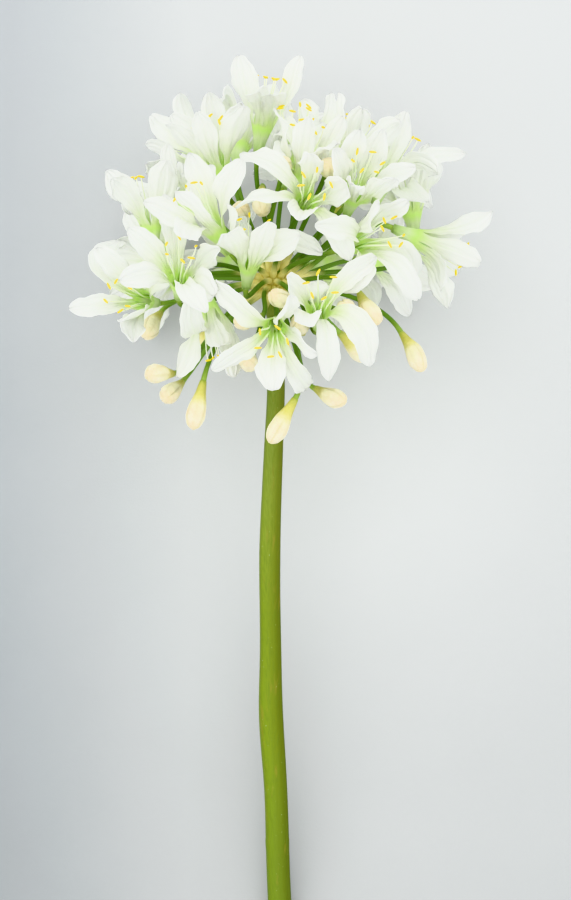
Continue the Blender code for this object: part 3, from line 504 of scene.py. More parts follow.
def stalk_curve(way, end, direction, bulge, steps):
    """From the hub out to the end, and into its direction there.

    bulge: how stiffly it leaves the hub, how stiffly it arrives, and how far it bows sideways halfway.
    """
    start = way * HUB_RADIUS
    span = np.linalg.norm(end - start)
    u = np.asarray(steps)[:, None]
    curve = eased_line(u, start, way * span * bulge[0], end, direction * span * bulge[1])
    side = unit(np.cross(way, direction) + 1e-3)  # also where the two are in line
    halfway = (4 * u * (1 - u)) ** 2
    return curve + side * bulge[2] * span * halfway


STIFFNESS = (1.0, 0.6, 1.4, 0.3)
BOWS = (0, 0.1, -0.1, 0.2, -0.2, 0.3, -0.3)
STALK_BULGES = [(leave, arrive, bow) for bow in BOWS for leave in STIFFNESS for arrive in STIFFNESS]


def stamen_knee(petal):
    """Where the stamen in front of a petal comes out of the throat."""
    return spoke(petal.angle) * STAMEN_KNEE[0] + UP * STAMEN_KNEE[1]


def stamen_end(petal, floret, lean, spread):
    """Where the stamen in front of a petal ends, lying."""
    way = unit(spoke(petal.angle) * math.tan(spread) + (*lean, 1.0))
    end = stamen_knee(petal) + way * STAMEN_LENGTH
    return settle(laid(end[None], floret), STAMEN_CLUB)[0]


# Ways to keep a floret's stamens clear: how far they spread and which way the bunch leans, in degrees, and
# how much it leans
STAMEN_SPREADS = (12, 6, 18)
STAMEN_WAYS = [(spread, turn, lean) for lean in (0.0, 0.25, 0.5) for spread in STAMEN_SPREADS
               for turn in range(0, 360, 60)]


# The CAD pieces, read back from the frame: which of its bends each petal, stamen bunch and stalk took

def node_tree(name):
    """Search tree of a CAD node's corners, in millimetres."""
    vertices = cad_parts[name].data.vertices
    tree = KDTree(len(vertices))
    for i, vertex in enumerate(vertices):
        tree.insert(vertex.co / MM, i)
    tree.balance()
    return tree


def misfit(tree, points, distance, count):
    """How far off the wanted distance the nearest corners are, at worst."""
    return max(abs(found[2] - distance) for point in points for found in tree.find_n(point, count))


def best_fit(tree, options, points_of, distance, count):
    """The first option whose points fit the corners well, or the one that fits best."""
    best = None
    for option in options:
        off = misfit(tree, points_of(option), distance, count)
        if best is None or off < best[0]:
            best = (off, option)
        if off < GOOD_FIT:
            break
    return best[1]


def found_petals(floret, wanted, tree):
    """Each petal as it was bent in the solids."""
    return [best_fit(tree, bends(petal), lambda bent: petal_corners(bent, floret), WALL / 2, 1)
            for petal in wanted]


def found_stamens(floret, wanted, tree):
    """Where each stamen ends in the solids."""
    def ends(way):
        spread, turn, lean = way
        tilt = (lean * math.cos(math.radians(turn)), lean * math.sin(math.radians(turn)))
        return [stamen_end(petal, floret, tilt, math.radians(spread)) for petal in wanted]
    return ends(best_fit(tree, STAMEN_WAYS, ends, CLUB_RIDGE * STAMEN_CLUB, 3))


def stalk_ends():
    """End point and end direction of each stalk."""
    ends = []
    for floret in FLORETS:
        axis = unit(floret.axis)
        ends.append((floret.throat - axis * (TUBE_LENGTH + WALL / 2 + GAP), axis))
    for place in BUDS:
        direction = bud_direction(place)
        ends.append((place.neck - direction * GAP, direction))
    return ends


def found_stalks(tree):
    """How each stalk runs in the solids, as the first values of stalk_curve."""
    ends = stalk_ends()
    inner = np.array(STALK_STEPS[2:-1])
    stalks = []
    for (end, direction), way in zip(ends, stalk_roots([end for end, _ in ends])):
        bulge = best_fit(tree, STALK_BULGES, lambda b: to_table(stalk_curve(way, end, direction, b, inner)),
                         STALK_RADIUS, 4)
        stalks.append((way, end, direction, bulge))
    return stalks


# Meshes of the pieces

def new_object(name, data):
    obj = bpy.data.objects.new(name, data)
    bpy.context.scene.collection.objects.link(obj)
    return obj


class Surface:
    """Points, faces and named numbers for each point, put together piece by piece."""

    def __init__(self, *names):
        self.points, self.faces, self.numbers = [], [], {name: [] for name in names}
        self.size = 0

    def add(self, points, faces, **numbers):
        """faces: counted from the first of these points; points added before have negative numbers."""
        self.points.append(points)
        self.faces += [tuple(self.size + k for k in face) for face in faces]
        for name, values in self.numbers.items():
            values.append(np.broadcast_to(numbers[name], len(points)))
        self.size += len(points)

    def piece(self, name, material, slot, *nodes):
        """The finished object, in place of the CAD nodes."""
        mesh = bpy.data.meshes.new(name)
        mesh.from_pydata((np.concatenate(self.points) * MM).tolist(), [], self.faces)
        mesh.polygons.foreach_set("use_smooth", [True] * len(mesh.polygons))
        for number, values in self.numbers.items():
            layer = mesh.attributes.new(number, "FLOAT", "POINT")
            layer.data.foreach_set("value", np.concatenate(values).astype(np.float32))
        mesh.materials.append(material)
        obj = new_object(name, mesh)
        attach(obj, "root")
        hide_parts(*nodes)
        return obj


def grid_faces(rows, columns, closed):
    """Quads between rows of points; closed joins the last column to the first."""
    faces = []
    for i in range(rows - 1):
        for j in range(columns if closed else columns - 1):
            k = (j + 1) % columns
            faces.append((i * columns + j, i * columns + k, (i + 1) * columns + k, (i + 1) * columns + j))
    return faces


def sweep(line, radii, sides, outline=1.0):
    """A closed tube along a line. outline: factors on the radius, for each side or each point and side."""
    ahead = units(np.gradient(line, axis=0))
    first = axes_about(ahead[0])[0]
    turn = circle(sides)
    shape = radii[:, None] * np.broadcast_to(outline, (len(line), sides))
    rings = []
    for i, point in enumerate(line):
        first = unit(first - ahead[i] * (first @ ahead[i]))
        second = np.cross(ahead[i], first)
        ring = np.cos(turn)[:, None] * first + np.sin(turn)[:, None] * second
        rings.append(point + ring * shape[i][:, None])
    points = np.concatenate(rings + [line[:1], line[-1:]])
    faces = grid_faces(len(line), sides, True)
    n = len(line) * sides
    faces += [(n, (j + 1) % sides, j) for j in range(sides)]
    faces += [(n + 1, n - sides + j, n - sides + (j + 1) % sides) for j in range(sides)]
    return points, faces


def along_rings(values, sides):
    """A number for each ring, as one for each point of a swept tube."""
    values = np.asarray(values, float)
    return np.concatenate((np.repeat(values, sides), values[[0, -1]]))


def wave(s, rate, draw):
    """rate: waves from s = 0 to 1. They start anywhere."""
    return np.sin(2 * np.pi * (rate * s + draw.random()))


def margins(s, t, draw):
    """How far each margin stands out, as a share of the plain outline: slimmer, wavy and more pointed."""
    slim = draw.uniform(*SLIMNESS) - draw.uniform(*POINTEDNESS) * smooth((s - 0.7) / 0.3)
    sides = [slim + sum(size * wave(s, rate, draw) for size, rate in MARGIN_WAVES) for _ in range(2)]
    return 1 + smooth(s / 0.3) * (np.where(t < 0, *sides) - 1)


def petal_sheet(petal, draw):
    """The petal's surface, from its first row above the throat to the tip, in rows."""
    x = np.linspace(0, 1, PETAL_STEPS + 1)[1:]
    s = np.where(x < 0.5, x * 1.1, 1 - 0.45 * (2 * (1 - x)) ** TIP_CROWDING)
    t = np.linspace(-1, 1, PETAL_COLUMNS + 1)
    s, t = np.meshgrid(s, t, indexing="ij")
    points = petal_point(petal, s, t * margins(s, t, draw))
    near = np.clip(s, 0.02, 0.9)

    def beside(shift, place):
        return petal_point(petal, near + shift, 0 * t + place)

    ahead = beside(0.02, 0) - beside(-0.02, 0)
    across = beside(0, 0.5) - beside(0, -0.5)
    normal = units(np.cross(ahead, across))
    cupped = beside(0, 1) + beside(0, -1) - 2 * beside(0, 0)
    if (normal * cupped).sum() < 0:
        normal = -normal
    reach = smooth(s / 0.35)
    slack = smooth((1 - s) / 0.06)
    ruffle = 0
    for hand in (-1, 1):
        margin = draw.uniform(*RUFFLE) * np.clip(hand * t, 0, 1) ** 2.2
        for size, *rates in RUFFLE_WAVES:
            ruffle = ruffle + size * margin * wave(s, draw.uniform(*rates), draw)
    pleats = PLEAT * np.cos(draw.uniform(*PLEATS) * np.pi * t + draw.uniform(-0.9, 0.9))
    creases = CREASE * np.cos(draw.uniform(*CREASES) * np.pi * t + draw.uniform(0, 6))
    pleats = (pleats + creases) * (1 - np.abs(t) ** 3) * slack
    rib = -RIB * np.exp(-(t / RIB_WIDTH) ** 2) * (1 - 0.6 * s)
    curl = draw.uniform(*TIP_CURL) * smooth((s - 0.72) / 0.28) ** 2
    wobble = draw.uniform(*WOBBLE) * t * wave(s, 0.8, draw)
    sway = draw.uniform(*SWAY) * wave(s, draw.uniform(0.8, 1.5), draw)
    fold = draw.uniform(*FOLD) * np.sqrt(t ** 2 + 0.02)
    roll = draw.uniform(*ROLL) * np.abs(t) ** 3 * np.sin(np.pi * np.clip(s * 1.1, 0, 1))
    lift = reach * ((ruffle + wobble + fold + roll) * slack + sway + pleats + rib + curl)
    off_middle = t * np.linalg.norm(across, axis=2)
    nib = draw.uniform(*NIB) * np.exp(-(off_middle / NIB_WIDTH) ** 2) * smooth((s - 0.85) / 0.15)
    return points + normal * lift[..., None] + units(ahead) * nib[..., None], s, t


def corolla(name, floret, petals, draw):
    """Tube and six petals as one thin skin."""
    surface = Surface("run", "across", "lane", "tone")

    def add(points, faces, **numbers):
        surface.add(settle(laid(points, floret), SKIN / 2 + 0.02), faces, **numbers)

    columns = PETALS * PETAL_COLUMNS
    share = np.arange(PETAL_COLUMNS) / PETAL_COLUMNS
    angles = np.concatenate([petal.left + (petal.right - petal.left) * share for petal in petals])
    middle = np.tile(np.abs(2 * share - 1), PETALS)
    x = np.linspace(0, 1, TUBE_STEPS + 1)
    radius = (TUBE_BASE + (TUBE_THROAT - TUBE_BASE) * x ** TUBE_FLARE)[:, None]
    fluted = radius * (1 - TUBE_FLUTES * np.sin(np.pi * x)[:, None] * middle)
    height = np.broadcast_to((x - 1)[:, None] * TUBE_LENGTH, fluted.shape)
    tube = np.stack((np.cos(angles) * fluted, np.sin(angles) * fluted, height), -1).reshape(-1, 3)
    faces = [(0, 1 + (j + 1) % columns, 1 + j) for j in range(columns)]
    faces += [tuple(1 + k for k in face) for face in grid_faces(TUBE_STEPS + 1, columns, True)]
    across = np.append(0.0, np.tile(middle, TUBE_STEPS + 1))
    add(np.concatenate(([(0, 0, -TUBE_LENGTH - WALL / 2)], tube)), faces, across=across,
        run=np.append(-1.0, np.repeat(x - 1, columns)), lane=across * TUBE_THROAT / 2, tone=0.5)
    wide = PETAL_COLUMNS + 1
    tip = (PETAL_STEPS - 1) * wide
    sheet_faces = grid_faces(PETAL_STEPS - 1, wide, False)
    sheet_faces += [(tip - wide + j, tip - wide + j + 1, tip) for j in range(PETAL_COLUMNS)]
    for k, petal in enumerate(petals):
        sheet, s, t = petal_sheet(petal, draw)
        back = 1 + TUBE_STEPS * columns - surface.size  # from the petal's first point to the throat's
        start = [back + (k * PETAL_COLUMNS + j) % columns for j in range(wide)]
        faces = [(start[j], start[j + 1], j + 1, j) for j in range(PETAL_COLUMNS)] + sheet_faces
        add(np.append(sheet[:-1].reshape(-1, 3), [sheet[-1].mean(0)], 0), faces, tone=draw.random(),
            run=np.append(s[:-1], 1.0), across=np.append(np.abs(t[:-1]), 0.0),
            lane=np.append(t[:-1] * petal.half_width, 0.0))
    piece = surface.piece(name + "_petals", looks["petal"], "petal_white", name)
    shell = piece.modifiers.new("thickness", "SOLIDIFY")
    shell.thickness = SKIN * MM
    shell.offset = 0


def anther(middle, way, draw):
    """A pollen sac: a long bead, a little bent, set across the end of its thread."""
    u = np.linspace(-1, 1, ANTHER_STEPS)
    side = np.cross(way, axes_about(way)[0])
    line = middle + np.outer(u, way) * ANTHER_LENGTH / 2 + np.outer(1 - u ** 2, side) * draw.uniform(0.1, 0.3)
    radii = ANTHER_RADIUS * np.sqrt(np.clip(1.04 - u ** 2, 0, 1))
    return sweep(line, radii, ANTHER_SIDES)


def stamens(name, floret, petals, ends, draw):
    """Six threads out of the tube, each with its pollen sac."""
    surface = Surface("anther", "run")
    u = np.linspace(0, 1, THREAD_STEPS)[:, None]
    run = np.linspace(0, 1, THREAD_STEPS + 1)
    for petal, end in zip(petals, ends):
        out = spoke(petal.angle)
        inner = (out * THREAD_ROOT + UP * STAMEN_FOOT, stamen_knee(petal), out, 0 * out)
        root, knee, outer, middle = laid(np.array(inner), floret)
        bow = outer - middle
        handle = knee + (knee - root) * 0.9 + bow * draw.uniform(-0.4, 0.8)
        hook = end - unit(end - knee) * 4 + bow * draw.uniform(0.3, 1.4)
        upper = ((1 - u) ** 3 * knee + 3 * (1 - u) ** 2 * u * handle + 3 * (1 - u) * u ** 2 * hook
                 + u ** 3 * end)
        line = settle(np.concatenate((root[None], upper)), THREAD_RADII[0])
        surface.add(*sweep(line, np.interp(run, (0, 1), THREAD_RADII), THREAD_SIDES), anther=0.0,
                    run=along_rings(run, THREAD_SIDES))
        first, second, ahead = axes_about(line[-1] - line[-2])
        turn = draw.uniform(0, 2 * math.pi)
        way = unit(first * math.cos(turn) + second * math.sin(turn) + ahead * draw.uniform(-0.3, 0.9))
        points, faces = anther(end + ahead * 0.2, way, draw)
        points[:, 2] += max(0, 0.05 - points[:, 2].min())
        surface.add(points, faces, anther=1.0, run=draw.random())
    surface.piece(name + "_stamens", looks["stamen"], "petal_white", name)


def bud(name, place, draw):
    """A closed bud: three outer petals folded together, seams between them."""
    u = np.linspace(0, 1, BUD_STEPS)
    crowded = u - 0.06 * np.sin(2 * np.pi * u)
    radii = np.interp(crowded, *zip(*BUD_SHAPE))
    for _ in range(2):
        radii[1:-1] = (radii[:-2] + 2 * radii[1:-1] + radii[2:]) / 4
    radii[-3:] *= BUD_ROUNDING
    direction = bud_direction(place)
    side = axes_about(direction)[0]
    line = place.neck + np.outer(crowded * BUD_LENGTH, direction)
    line = to_table(line + np.outer(np.sin(np.pi * crowded), side) * draw.uniform(-0.6, 0.6))
    turn = circle(BUD_SIDES) + draw.uniform(0, 2)
    seam = np.exp(-(np.sin(1.5 * turn) / 0.16) ** 2)
    crease = np.exp(-(np.cos(1.5 * turn) / 0.2) ** 2)
    full = smooth((crowded - 0.3) / 0.3)[:, None]
    outline = 1 - full * (BUD_SEAM * seam + BUD_CREASE * crease) + full * 0.015 * np.cos(3 * turn)
    for lobes, rate in ((1, 5), (2, 8), (3, 12)):
        lump = np.sin(rate * crowded + draw.uniform(0, 6))[:, None]
        outline = outline + BUD_LUMP / lobes * lump * np.cos(lobes * turn + draw.uniform(0, 6))
    surface = Surface("run", "seam")
    surface.add(*sweep(line, radii, BUD_SIDES, outline), run=along_rings(crowded, BUD_SIDES),
                seam=np.append((seam + 0.4 * crease) * full, (0, 0)))
    surface.piece(name + "_skin", looks["bud"], "bud_cream", name)


def stalks_piece(stalks, draw):
    """All stalks, each from inside the hub to its floret or bud."""
    surface = Surface("run", "tone")
    turn = circle(STALK_ROUND)
    for way, end, direction, bulge in stalks:
        u = np.linspace(0, 1, STALK_RINGS)
        line = stalk_curve(way, end, direction, bulge, u)
        line = np.concatenate((line, [end + direction * (GAP + 0.25)]))
        u = np.append(u, 1.0)
        radii = STALK_RADIUS * (0.84 + STALK_FLARE * (1 - smooth(u / 0.24)) + 0.16 * smooth((u - 0.9) / 0.1))
        outline = 1 + 0.03 * np.cos(4 * turn + draw.uniform(0, 3))
        surface.add(*sweep(to_table(line), radii, STALK_ROUND, outline), run=along_rings(u, STALK_ROUND),
                    tone=draw.random())
    surface.piece("stalks", looks["stalk"], "stem_green", "scape")


def eased(x, knots, values):
    """A smooth curve through the knots."""
    slopes = np.gradient(values, knots)
    i = np.clip(np.searchsorted(knots, x, side="right") - 1, 0, len(knots) - 2)
    step = knots[i + 1] - knots[i]
    return eased_line((x - knots[i]) / step, values[i], step * slopes[i], values[i + 1], step * slopes[i + 1])


def stem_piece():
    """The stem with its low ribs and the swollen hub."""
    knots, bend, thickness = np.array(STEM, float).T
    v = np.concatenate((np.linspace(knots[0], -16, STEM_RINGS), np.linspace(-15, knots[-1], HUB_RINGS)))
    radii = eased(v, knots, thickness)
    turn = circle(STEM_ROUND)
    ribs = STEM_RIB * np.cos(9 * turn + 0.4) + 0.5 * STEM_RIB * np.cos(16 * turn)
    sway = 0.006 * np.sin(v / 17)[:, None] * np.cos(2 * turn) + 0.004 * np.sin(v / 6.1)[:, None]
    node = NODE_SWELL * np.exp(-((v - NODE_PLACE) / 1.6) ** 2)[:, None] * (1 + 0.4 * np.cos(turn))
    knobs = 0.05 * smooth((v + 6) / 4)[:, None] * np.cos(7 * turn + v[:, None] / 2.3)
    line = to_table(np.stack((eased(v, knots, bend), v, 0 * v), -1))
    points, faces = sweep(line, radii, STEM_ROUND, 1 + ribs + sway + node + knobs)
    points[:, 2] = np.maximum(points[:, 2], 0)
    # side: across the stem from its left to its right, used by the material for painted shade on the right
    side = (points[:, 0] - along_rings(line[:, 0], STEM_ROUND)) / along_rings(radii, STEM_ROUND)
    surface = Surface("run", "side")
    surface.add(points, faces, run=along_rings(v, STEM_ROUND), side=side)
    surface.piece("stem", looks["stem"], "stem_green", "scape")


def bracts_piece(draw):
    """The dry foot of the sheath round the hub: small pointed green scales."""
    rows, columns = 9, 5
    u = np.linspace(0, 1, rows)[:, None]
    t = np.linspace(-1, 1, columns)
    half = BRACT_WIDTH / 2 * np.sqrt(u) * (1 - u ** 2.2) + 0.02
    n = rows * columns
    front = grid_faces(rows, columns, False)
    index = np.arange(n).reshape(rows, columns)
    rim = np.concatenate((index[0], index[1:, -1], index[-1, -2::-1], index[-2:0:-1, 0]))[::-1].tolist()
    faces = front + [tuple(n + k for k in reversed(face)) for face in front]
    faces += [(a, b, b + n, a + n) for a, b in zip(rim, rim[1:] + rim[:1])]
    surface = Surface("run", "tone")
    for turn, tall in BRACTS:
        face = turn + t * half / BRACT_ROUND
        out = np.broadcast_to(BRACT_FOOT[0] + BRACT_FLARE * u, face.shape)
        rise = np.broadcast_to(BRACT_FOOT[1] + tall * (1 - u[::-1]), face.shape)
        points = np.stack((np.sin(face) * out, rise, np.cos(face) * out), -1).reshape(-1, 3)
        inside = points * (BRACT_INSIDE, 1, BRACT_INSIDE)
        surface.add(to_table(np.concatenate((points, inside))), faces,
                    run=np.tile(np.repeat(u[:, 0], columns), 2), tone=draw.random())
    surface.piece("bracts", looks["stalk"], "stem_green", "scape")


# Materials

KHAKI = (0.72, 0.64, 0.22), (0.86, 0.80, 0.38)  # the hub, and the stalks' roots


class Shades:
    """A material with its nodes, added one by one."""

    def __init__(self, name, roughness, **sockets):
        self.material = bpy.data.materials.new(name)
        self.material.use_nodes = True
        self.tree = self.material.node_tree
        self.shader = self.tree.nodes["Principled BSDF"]
        self.shader.inputs["Roughness"].default_value = roughness
        for socket, value in sockets.items():
            self.shader.inputs[socket.replace("_", " ")].default_value = value

    def plug(self, value, socket):
        if isinstance(value, bpy.types.NodeSocket):
            self.tree.links.new(value, socket)
        else:
            socket.default_value = value

    def node(self, kind, *values, **settings):
        """values: what its first sockets are, or are linked to."""
        made = self.tree.nodes.new("ShaderNode" + kind)
        for name, value in settings.items():
            setattr(made, name, value)
        for value, socket in zip(values, made.inputs):
            self.plug(value, socket)
        return made

    def numbers(self, *names):
        """The numbers that a mesh has at each point."""
        return [self.node("Attribute", attribute_name=name).outputs["Fac"] for name in names]

    def place(self, *stretch):
        """Where a point is on the object, in millimetres, stretched along the axes."""
        made = self.node("Mapping", self.node("TexCoord").outputs["Object"])
        made.inputs["Scale"].default_value = [k / MM for k in stretch]
        return made.outputs["Vector"]

    def vector(self, *values):
        return self.node("CombineXYZ", *values).outputs["Vector"]

    def times(self, a, b):
        return self.node("Math", a, b, operation="MULTIPLY").outputs["Value"]

    def sum(self, a, k, b):
        """a * k + b"""
        return self.node("Math", a, k, b, operation="MULTIPLY_ADD").outputs["Value"]

    def noise(self, scale, detail=3.0, vector=None):
        """Noise, in the object's millimetres unless it has a vector of its own."""
        made = self.node("TexNoise", self.place(1, 1, 1) if vector is None else vector)
        for name, value in (("Scale", scale), ("Detail", detail), ("Roughness", 0.55)):
            made.inputs[name].default_value = value
        return made.outputs["Fac"]

    def span(self, value, low, high, to_low=0.0, to_high=1.0):
        return self.node("MapRange", value, low, high, to_low, to_high).outputs["Result"]

    def ramp(self, factor, stops):
        """stops: places, each with its colour, or with one number for a grey."""
        made = self.node("ValToRGB", factor)
        knots = made.color_ramp.elements
        while len(knots) < len(stops):
            knots.new(0.5)
        for knot, (position, colour) in zip(knots, stops):
            knot.position = position
            knot.color = (*colour, 1) if isinstance(colour, tuple) else (colour, colour, colour, 1)
        return made.outputs["Color"]

    def mix(self, factor, a, b, blend="MIX"):
        made = self.node("Mix", factor, data_type="RGBA", blend_type=blend)
        for value, socket in zip((a, b), [s for s in made.inputs if s.type == "RGBA"]):
            self.plug((*value, 1) if isinstance(value, tuple) else value, socket)
        return next(s for s in made.outputs if s.type == "RGBA")

    def bump(self, height, distance):
        """distance: in millimetres, between the height's 0 and 1."""
        made = self.node("Bump")
        made.inputs["Distance"].default_value = distance * MM
        self.plug(height, made.inputs["Height"])
        self.plug(made.outputs["Normal"], self.shader.inputs["Normal"])
        return made.outputs["Normal"]

    def colour(self, value):
        self.plug(value, self.shader.inputs["Base Color"])


def petal_material():
    """White petal, green in the throat, with fine veins along it; a part of the light shines through."""
    m = Shades("petal_white", 0.55, Sheen_Weight=0.1, Sheen_Roughness=0.5, Specular_IOR_Level=0.3)
    run, across, lane, tone = m.numbers("run", "across", "lane", "tone")
    greener = m.sum(m.noise(0.12), 0.22, m.sum(tone, 0.16, -0.19))
    along = m.sum(across, 0.07, m.sum(run, 1.0, greener))
    base = m.ramp(m.span(along, -1, 1), (
        (0.0, (0.48, 0.68, 0.18)), (0.12, (0.68, 0.85, 0.38)), (0.3, (0.85, 0.94, 0.62)),
        (0.46, (0.76, 0.98, 0.33)), (0.53, (0.81, 0.975, 0.42)), (0.6, (0.89, 0.955, 0.70)),
        (0.7, (0.945, 0.96, 0.88)), (0.82, (0.965, 0.972, 0.945)), (1.0, (0.972, 0.975, 0.955))))

    def streaks(wide, long, apart, detail):
        """Noise drawn out along the petal. apart: how far one petal's is from the next one's."""
        vector = m.vector(m.sum(lane, wide, m.times(tone, apart[0])), m.times(run, long),
                          m.times(tone, apart[1]))
        return m.noise(1.0, detail, vector)

    veins = streaks(2.6, 1.3, (31.0, 9.0), 3.0)
    shade = m.mix(m.span(veins, 0.35, 0.75, 0.0, 0.12), base, (0.76, 0.78, 0.73), "MULTIPLY")
    midrib = m.span(across, 0.0, 0.14, 0.22, 0.0)
    ribbed = m.mix(m.times(midrib, m.span(run, 0.1, 0.9, 1.0, 0.0)), shade, (0.62, 0.80, 0.42))
    m.colour(ribbed)
    creases = m.times(streaks(0.6, 1.5, (23.0, 5.0), 2.0), m.span(run, 0.05, 0.3))
    normal = m.bump(m.sum(veins, 0.35, creases), 1.0)
    through = m.node("BsdfTranslucent", m.mix(0.3, ribbed, (0.975, 0.98, 0.93)), normal)
    both = m.node("MixShader", 0.5, m.shader.outputs["BSDF"], through.outputs["BSDF"])
    m.plug(both.outputs["Shader"], m.tree.nodes["Material Output"].inputs["Surface"])
    return m.material


def stamen_material():
    """Pale thread, greener at its foot, and yellow pollen on its sac."""
    m = Shades("stamen_yellow", 0.55, Subsurface_Weight=0.1)
    anther, run = m.numbers("anther", "run")
    thread = m.ramp(run, ((0.0, (0.42, 0.68, 0.14)), (0.35, (0.78, 0.88, 0.58)), (1.0, (0.90, 0.90, 0.72))))
    grains = m.noise(4.5, 2.0)
    pollen = m.mix(m.span(grains, 0.4, 0.75), (0.98, 0.83, 0.01), (0.93, 0.58, 0.01))
    m.colour(m.mix(anther, thread, pollen))
    m.bump(m.times(grains, anther), 0.2)
    return m.material


def bud_material():
    """Cream bud with a yellow-green neck, a ragged line between them, and a blush here and there."""
    m = Shades("bud_cream", 0.45, Subsurface_Weight=0.15, Subsurface_Scale=1.0)
    m.shader.inputs["Subsurface Radius"].default_value = (0.9 * MM, 0.7 * MM, 0.3 * MM)
    run, seam = m.numbers("run", "seam")
    base = m.ramp(m.sum(run, 1.0, m.sum(m.noise(0.7), 0.18, -0.09)), (
        (0.0, (0.30, 0.36, 0.05)), (0.1, (0.43, 0.42, 0.08)), (0.3, (0.54, 0.50, 0.13)),
        (0.4, (0.66, 0.61, 0.24)), (0.52, (0.86, 0.80, 0.52)), (0.85, (0.89, 0.82, 0.60)),
        (1.0, (0.86, 0.74, 0.48))))
    blush = m.span(m.noise(0.16), 0.5, 0.75, 0.0, 0.42)
    tinted = m.mix(m.times(blush, m.span(run, 0.3, 0.5)), base, (0.88, 0.66, 0.42))
    m.colour(m.mix(m.times(seam, 0.65), tinted, (0.50, 0.44, 0.18)))
    m.bump(m.noise(0.8), 0.5)
    return m.material


def stalk_material():
    """Dark green stalk, each of its own shade, with brownish scuffs and a khaki root."""
    m = Shades("stalk_green", 0.55, Specular_IOR_Level=0.2)
    run, tone = m.numbers("run", "tone")
    dark = m.mix(tone, (0.075, 0.16, 0.020), (0.15, 0.27, 0.045))
    ends = m.mix(m.span(run, 0.86, 1.0, 0.0, 0.6), dark, (0.34, 0.46, 0.09))
    streaks = m.noise(0.9, 4.0)
    scuffed = m.mix(m.span(streaks, 0.6, 0.72, 0.0, 0.55), ends, (0.20, 0.16, 0.07))
    m.colour(m.mix(m.span(run, 0.12, 0.26), m.mix(streaks, *KHAKI), scuffed))
    m.bump(streaks, 0.15)
    return m.material


def stem_material():
    """Green stem with long streaks and small pale specks, painted shade on its right side, and a khaki hub.
    """
    m = Shades("stem_green", 0.5, Specular_IOR_Level=0.2)
    run, side = m.numbers("run", "side")
    lit = m.ramp(m.span(run, STEM[0][0], 0), (
        (0.0, (0.115, 0.170, 0.014)), (0.12, (0.117, 0.172, 0.013)), (0.3, (0.140, 0.197, 0.012)),
        (0.5, (0.139, 0.193, 0.014)), (0.62, (0.162, 0.215, 0.024)), (1.0, (0.184, 0.236, 0.057))))
    # painted shade: the stem's right side is darkened, as if lit from the left
    base = m.mix(m.span(side, -0.45, 0.75), lit, (0.66, 0.60, 0.36), "MULTIPLY")
    streak = m.noise(1.0, 4.0, m.place(1.3, 0.035, 1.3))
    darker = m.mix(m.span(streak, 0.42, 0.68, 0.0, 0.5), base, (0.095, 0.140, 0.012))
    rust = m.span(m.noise(1.0, 3.0, m.place(0.45, 0.02, 0.45)), 0.6, 0.72, 0.0, 0.4)
    worn = m.mix(rust, darker, (0.22, 0.18, 0.03))
    specks = m.span(m.noise(1.3, 1.0, m.place(1, 0.6, 1)), 0.74, 0.8, 0.0, 0.5)
    speckled = m.mix(specks, worn, (0.32, 0.37, 0.15))
    fibres = m.noise(1.6, 4.0, m.place(1, 0.3, 1))
    m.colour(m.mix(m.span(run, -5.5, -3.0), speckled, m.mix(fibres, *KHAKI)))
    m.bump(m.sum(fibres, 0.5, streak), 0.16)
    return m.material


def floor_material():
    """Pale matt floor, with painted shade that makes it darker and cooler to the left and near the stem's
    end, and painted light that makes it paler round the head.
    """
    m = Shades("floor_pale", 0.85)
    place = m.place(1, 1, 1)
    away = m.node("SeparateXYZ", place)
    # painted shade: the floor darkens to the left and towards the stem's end, as falling-off light would
    side = m.ramp(m.span(away.outputs["X"], *FLOOR_PAINTED_SHADE), FLOOR_PAINTED_SHADE_EASE)
    near = m.span(away.outputs["Y"], *FLOOR_PAINTED_SHADE_DEPTH)
    left = m.mix(near, FLOOR_LEFT_NEAR, FLOOR_LEFT_FAR)
    right = m.mix(near, FLOOR_RIGHT_NEAR, FLOOR_RIGHT_FAR)
    # painted light: a pale patch on the floor round the head, which lifts the head's shadow
    off = m.node("VectorMath", place, PAINTED_LIGHT_MIDDLE, operation="DISTANCE")
    painted_light = m.ramp(m.span(off.outputs["Value"], 0, PAINTED_LIGHT_REACH), PAINTED_LIGHT_EASE)
    lit = m.mix(painted_light, m.mix(side, left, right), (PAINTED_LIGHT_GAIN,) * 3, "DODGE")
    m.colour(m.mix(m.span(m.noise(0.02, 4.0), 0.3, 0.7, 0.0, 0.05), lit, (0.5, 0.5, 0.5)))
    m.bump(m.noise(0.8, 2.0), 0.05)
    return m.material


# The studio

FLOOR_PAINTED_SHADE = (-170.0, 110.0)  # painted shade: where the floor passes from its darker left to its paler right, as if the light fell off to the left
FLOOR_PAINTED_SHADE_EASE = ((0.0, 0.0), (0.2, 0.06), (0.33, 0.42), (0.47, 0.85), (0.75, 1.0), (1.0, 0.95))
FLOOR_PAINTED_SHADE_DEPTH = (-170.0, 130.0)  # painted shade: where it passes from darker near the stem's end to paler beyond the head
# colours of the painted shade: darker and cooler to the left and near the stem's end
FLOOR_LEFT_NEAR = (0.195, 0.210, 0.215)
FLOOR_LEFT_FAR = (0.285, 0.301, 0.311)
FLOOR_RIGHT_NEAR = (0.330, 0.337, 0.333)
FLOOR_RIGHT_FAR = (0.434, 0.442, 0.437)
FLOOR_SIZE = 8.0  # metres
PAINTED_LIGHT_MIDDLE = (20.0, 40.0, 0.0)  # painted light: the floor is made a little paler round the head, to lift the head's shadow
PAINTED_LIGHT_REACH = 150.0
PAINTED_LIGHT_EASE = ((0.0, 1.0), (0.35, 0.8), (0.65, 0.3), (1.0, 0.0))
PAINTED_LIGHT_GAIN = 0.18
WORLD_LIGHT = 1.65
KEY_LIGHT = 17.0
FILL_LIGHT = 3.0


def to_metres(place):
    return Vector(to_table(place)[0] * MM)


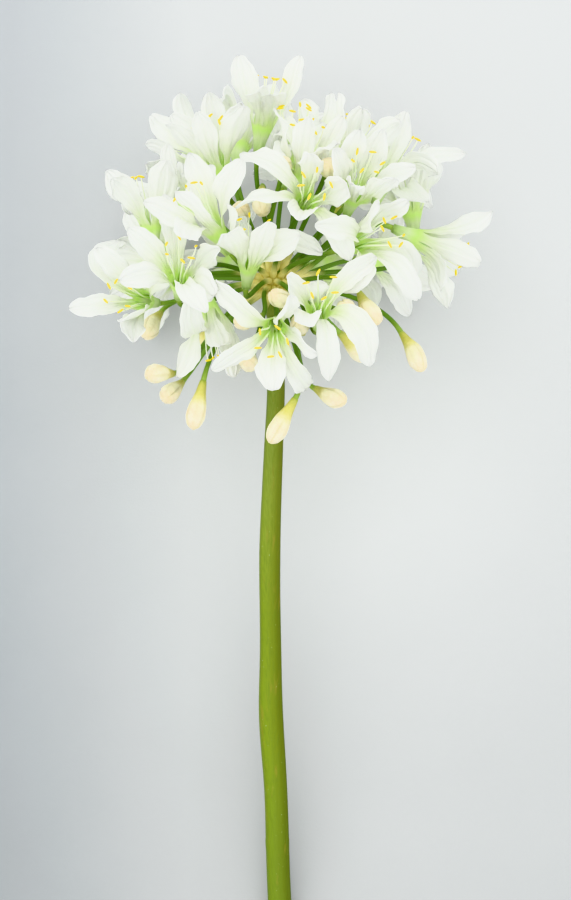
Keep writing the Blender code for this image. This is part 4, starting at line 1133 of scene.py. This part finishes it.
def camera():
    eye = bpy.data.cameras.new("camera")
    eye.sensor_fit = "VERTICAL"
    eye.sensor_height = FRAME_HEIGHT
    eye.lens = LENS
    obj = new_object("camera", eye)
    turned = Matrix(((1, 0, 0), (0, math.cos(LEAN), -math.sin(LEAN)), (0, math.sin(LEAN), math.cos(LEAN))))
    obj.matrix_world = Matrix.Translation(to_metres(EYE)) @ turned.to_4x4()
    bpy.context.scene.camera = obj


def lamp(name, place, size, power, colour=(1, 1, 1)):
    """A soft square light that looks at the flower's head. place: upright, in millimetres."""
    light = bpy.data.lights.new(name, "AREA")
    light.size = size
    light.energy = power
    light.color = colour
    obj = new_object(name, light)
    obj.location = to_metres(place)
    obj.rotation_euler = (obj.location - to_metres((0, -30, 0))).to_track_quat("Z", "Y").to_euler()


def studio():
    bpy.ops.mesh.primitive_grid_add(x_subdivisions=8, y_subdivisions=8, size=FLOOR_SIZE)
    floor = bpy.context.object
    floor.name = "floor"
    floor.data.materials.append(floor_material())
    world = bpy.data.worlds.new("studio")
    bpy.context.scene.world = world
    world.use_nodes = True
    sky = world.node_tree.nodes["Background"]
    sky.inputs["Color"].default_value = (0.96, 0.98, 1.0, 1)
    sky.inputs["Strength"].default_value = WORLD_LIGHT
    lamp("key_light", (-480, 480, 1150), 2.2, KEY_LIGHT, (1, 0.99, 0.97))
    lamp("fill_light", (500, -200, 1400), 1.6, FILL_LIGHT)
    bpy.context.scene.view_settings.view_transform = "Khronos PBR Neutral"
    camera()


looks = {"petal": petal_material(), "stamen": stamen_material(), "bud": bud_material(),
         "stalk": stalk_material(), "stem": stem_material()}

for i, floret in enumerate(FLORETS):
    name = f"floret_{i + 1:02d}"
    draw = random.Random(100 + i)
    tree = node_tree(name)
    wanted = petals_of(floret, i)
    petals = found_petals(floret, wanted, tree)
    corolla(name, floret, petals, draw)
    stamens(name, floret, petals, found_stamens(floret, wanted, tree), draw)

for i, place in enumerate(BUDS):
    bud(f"bud_{i + 1:02d}", place, random.Random(300 + i))

green = random.Random(7)
stalks_piece(found_stalks(node_tree("scape")), green)
stem_piece()
bracts_piece(green)
studio()
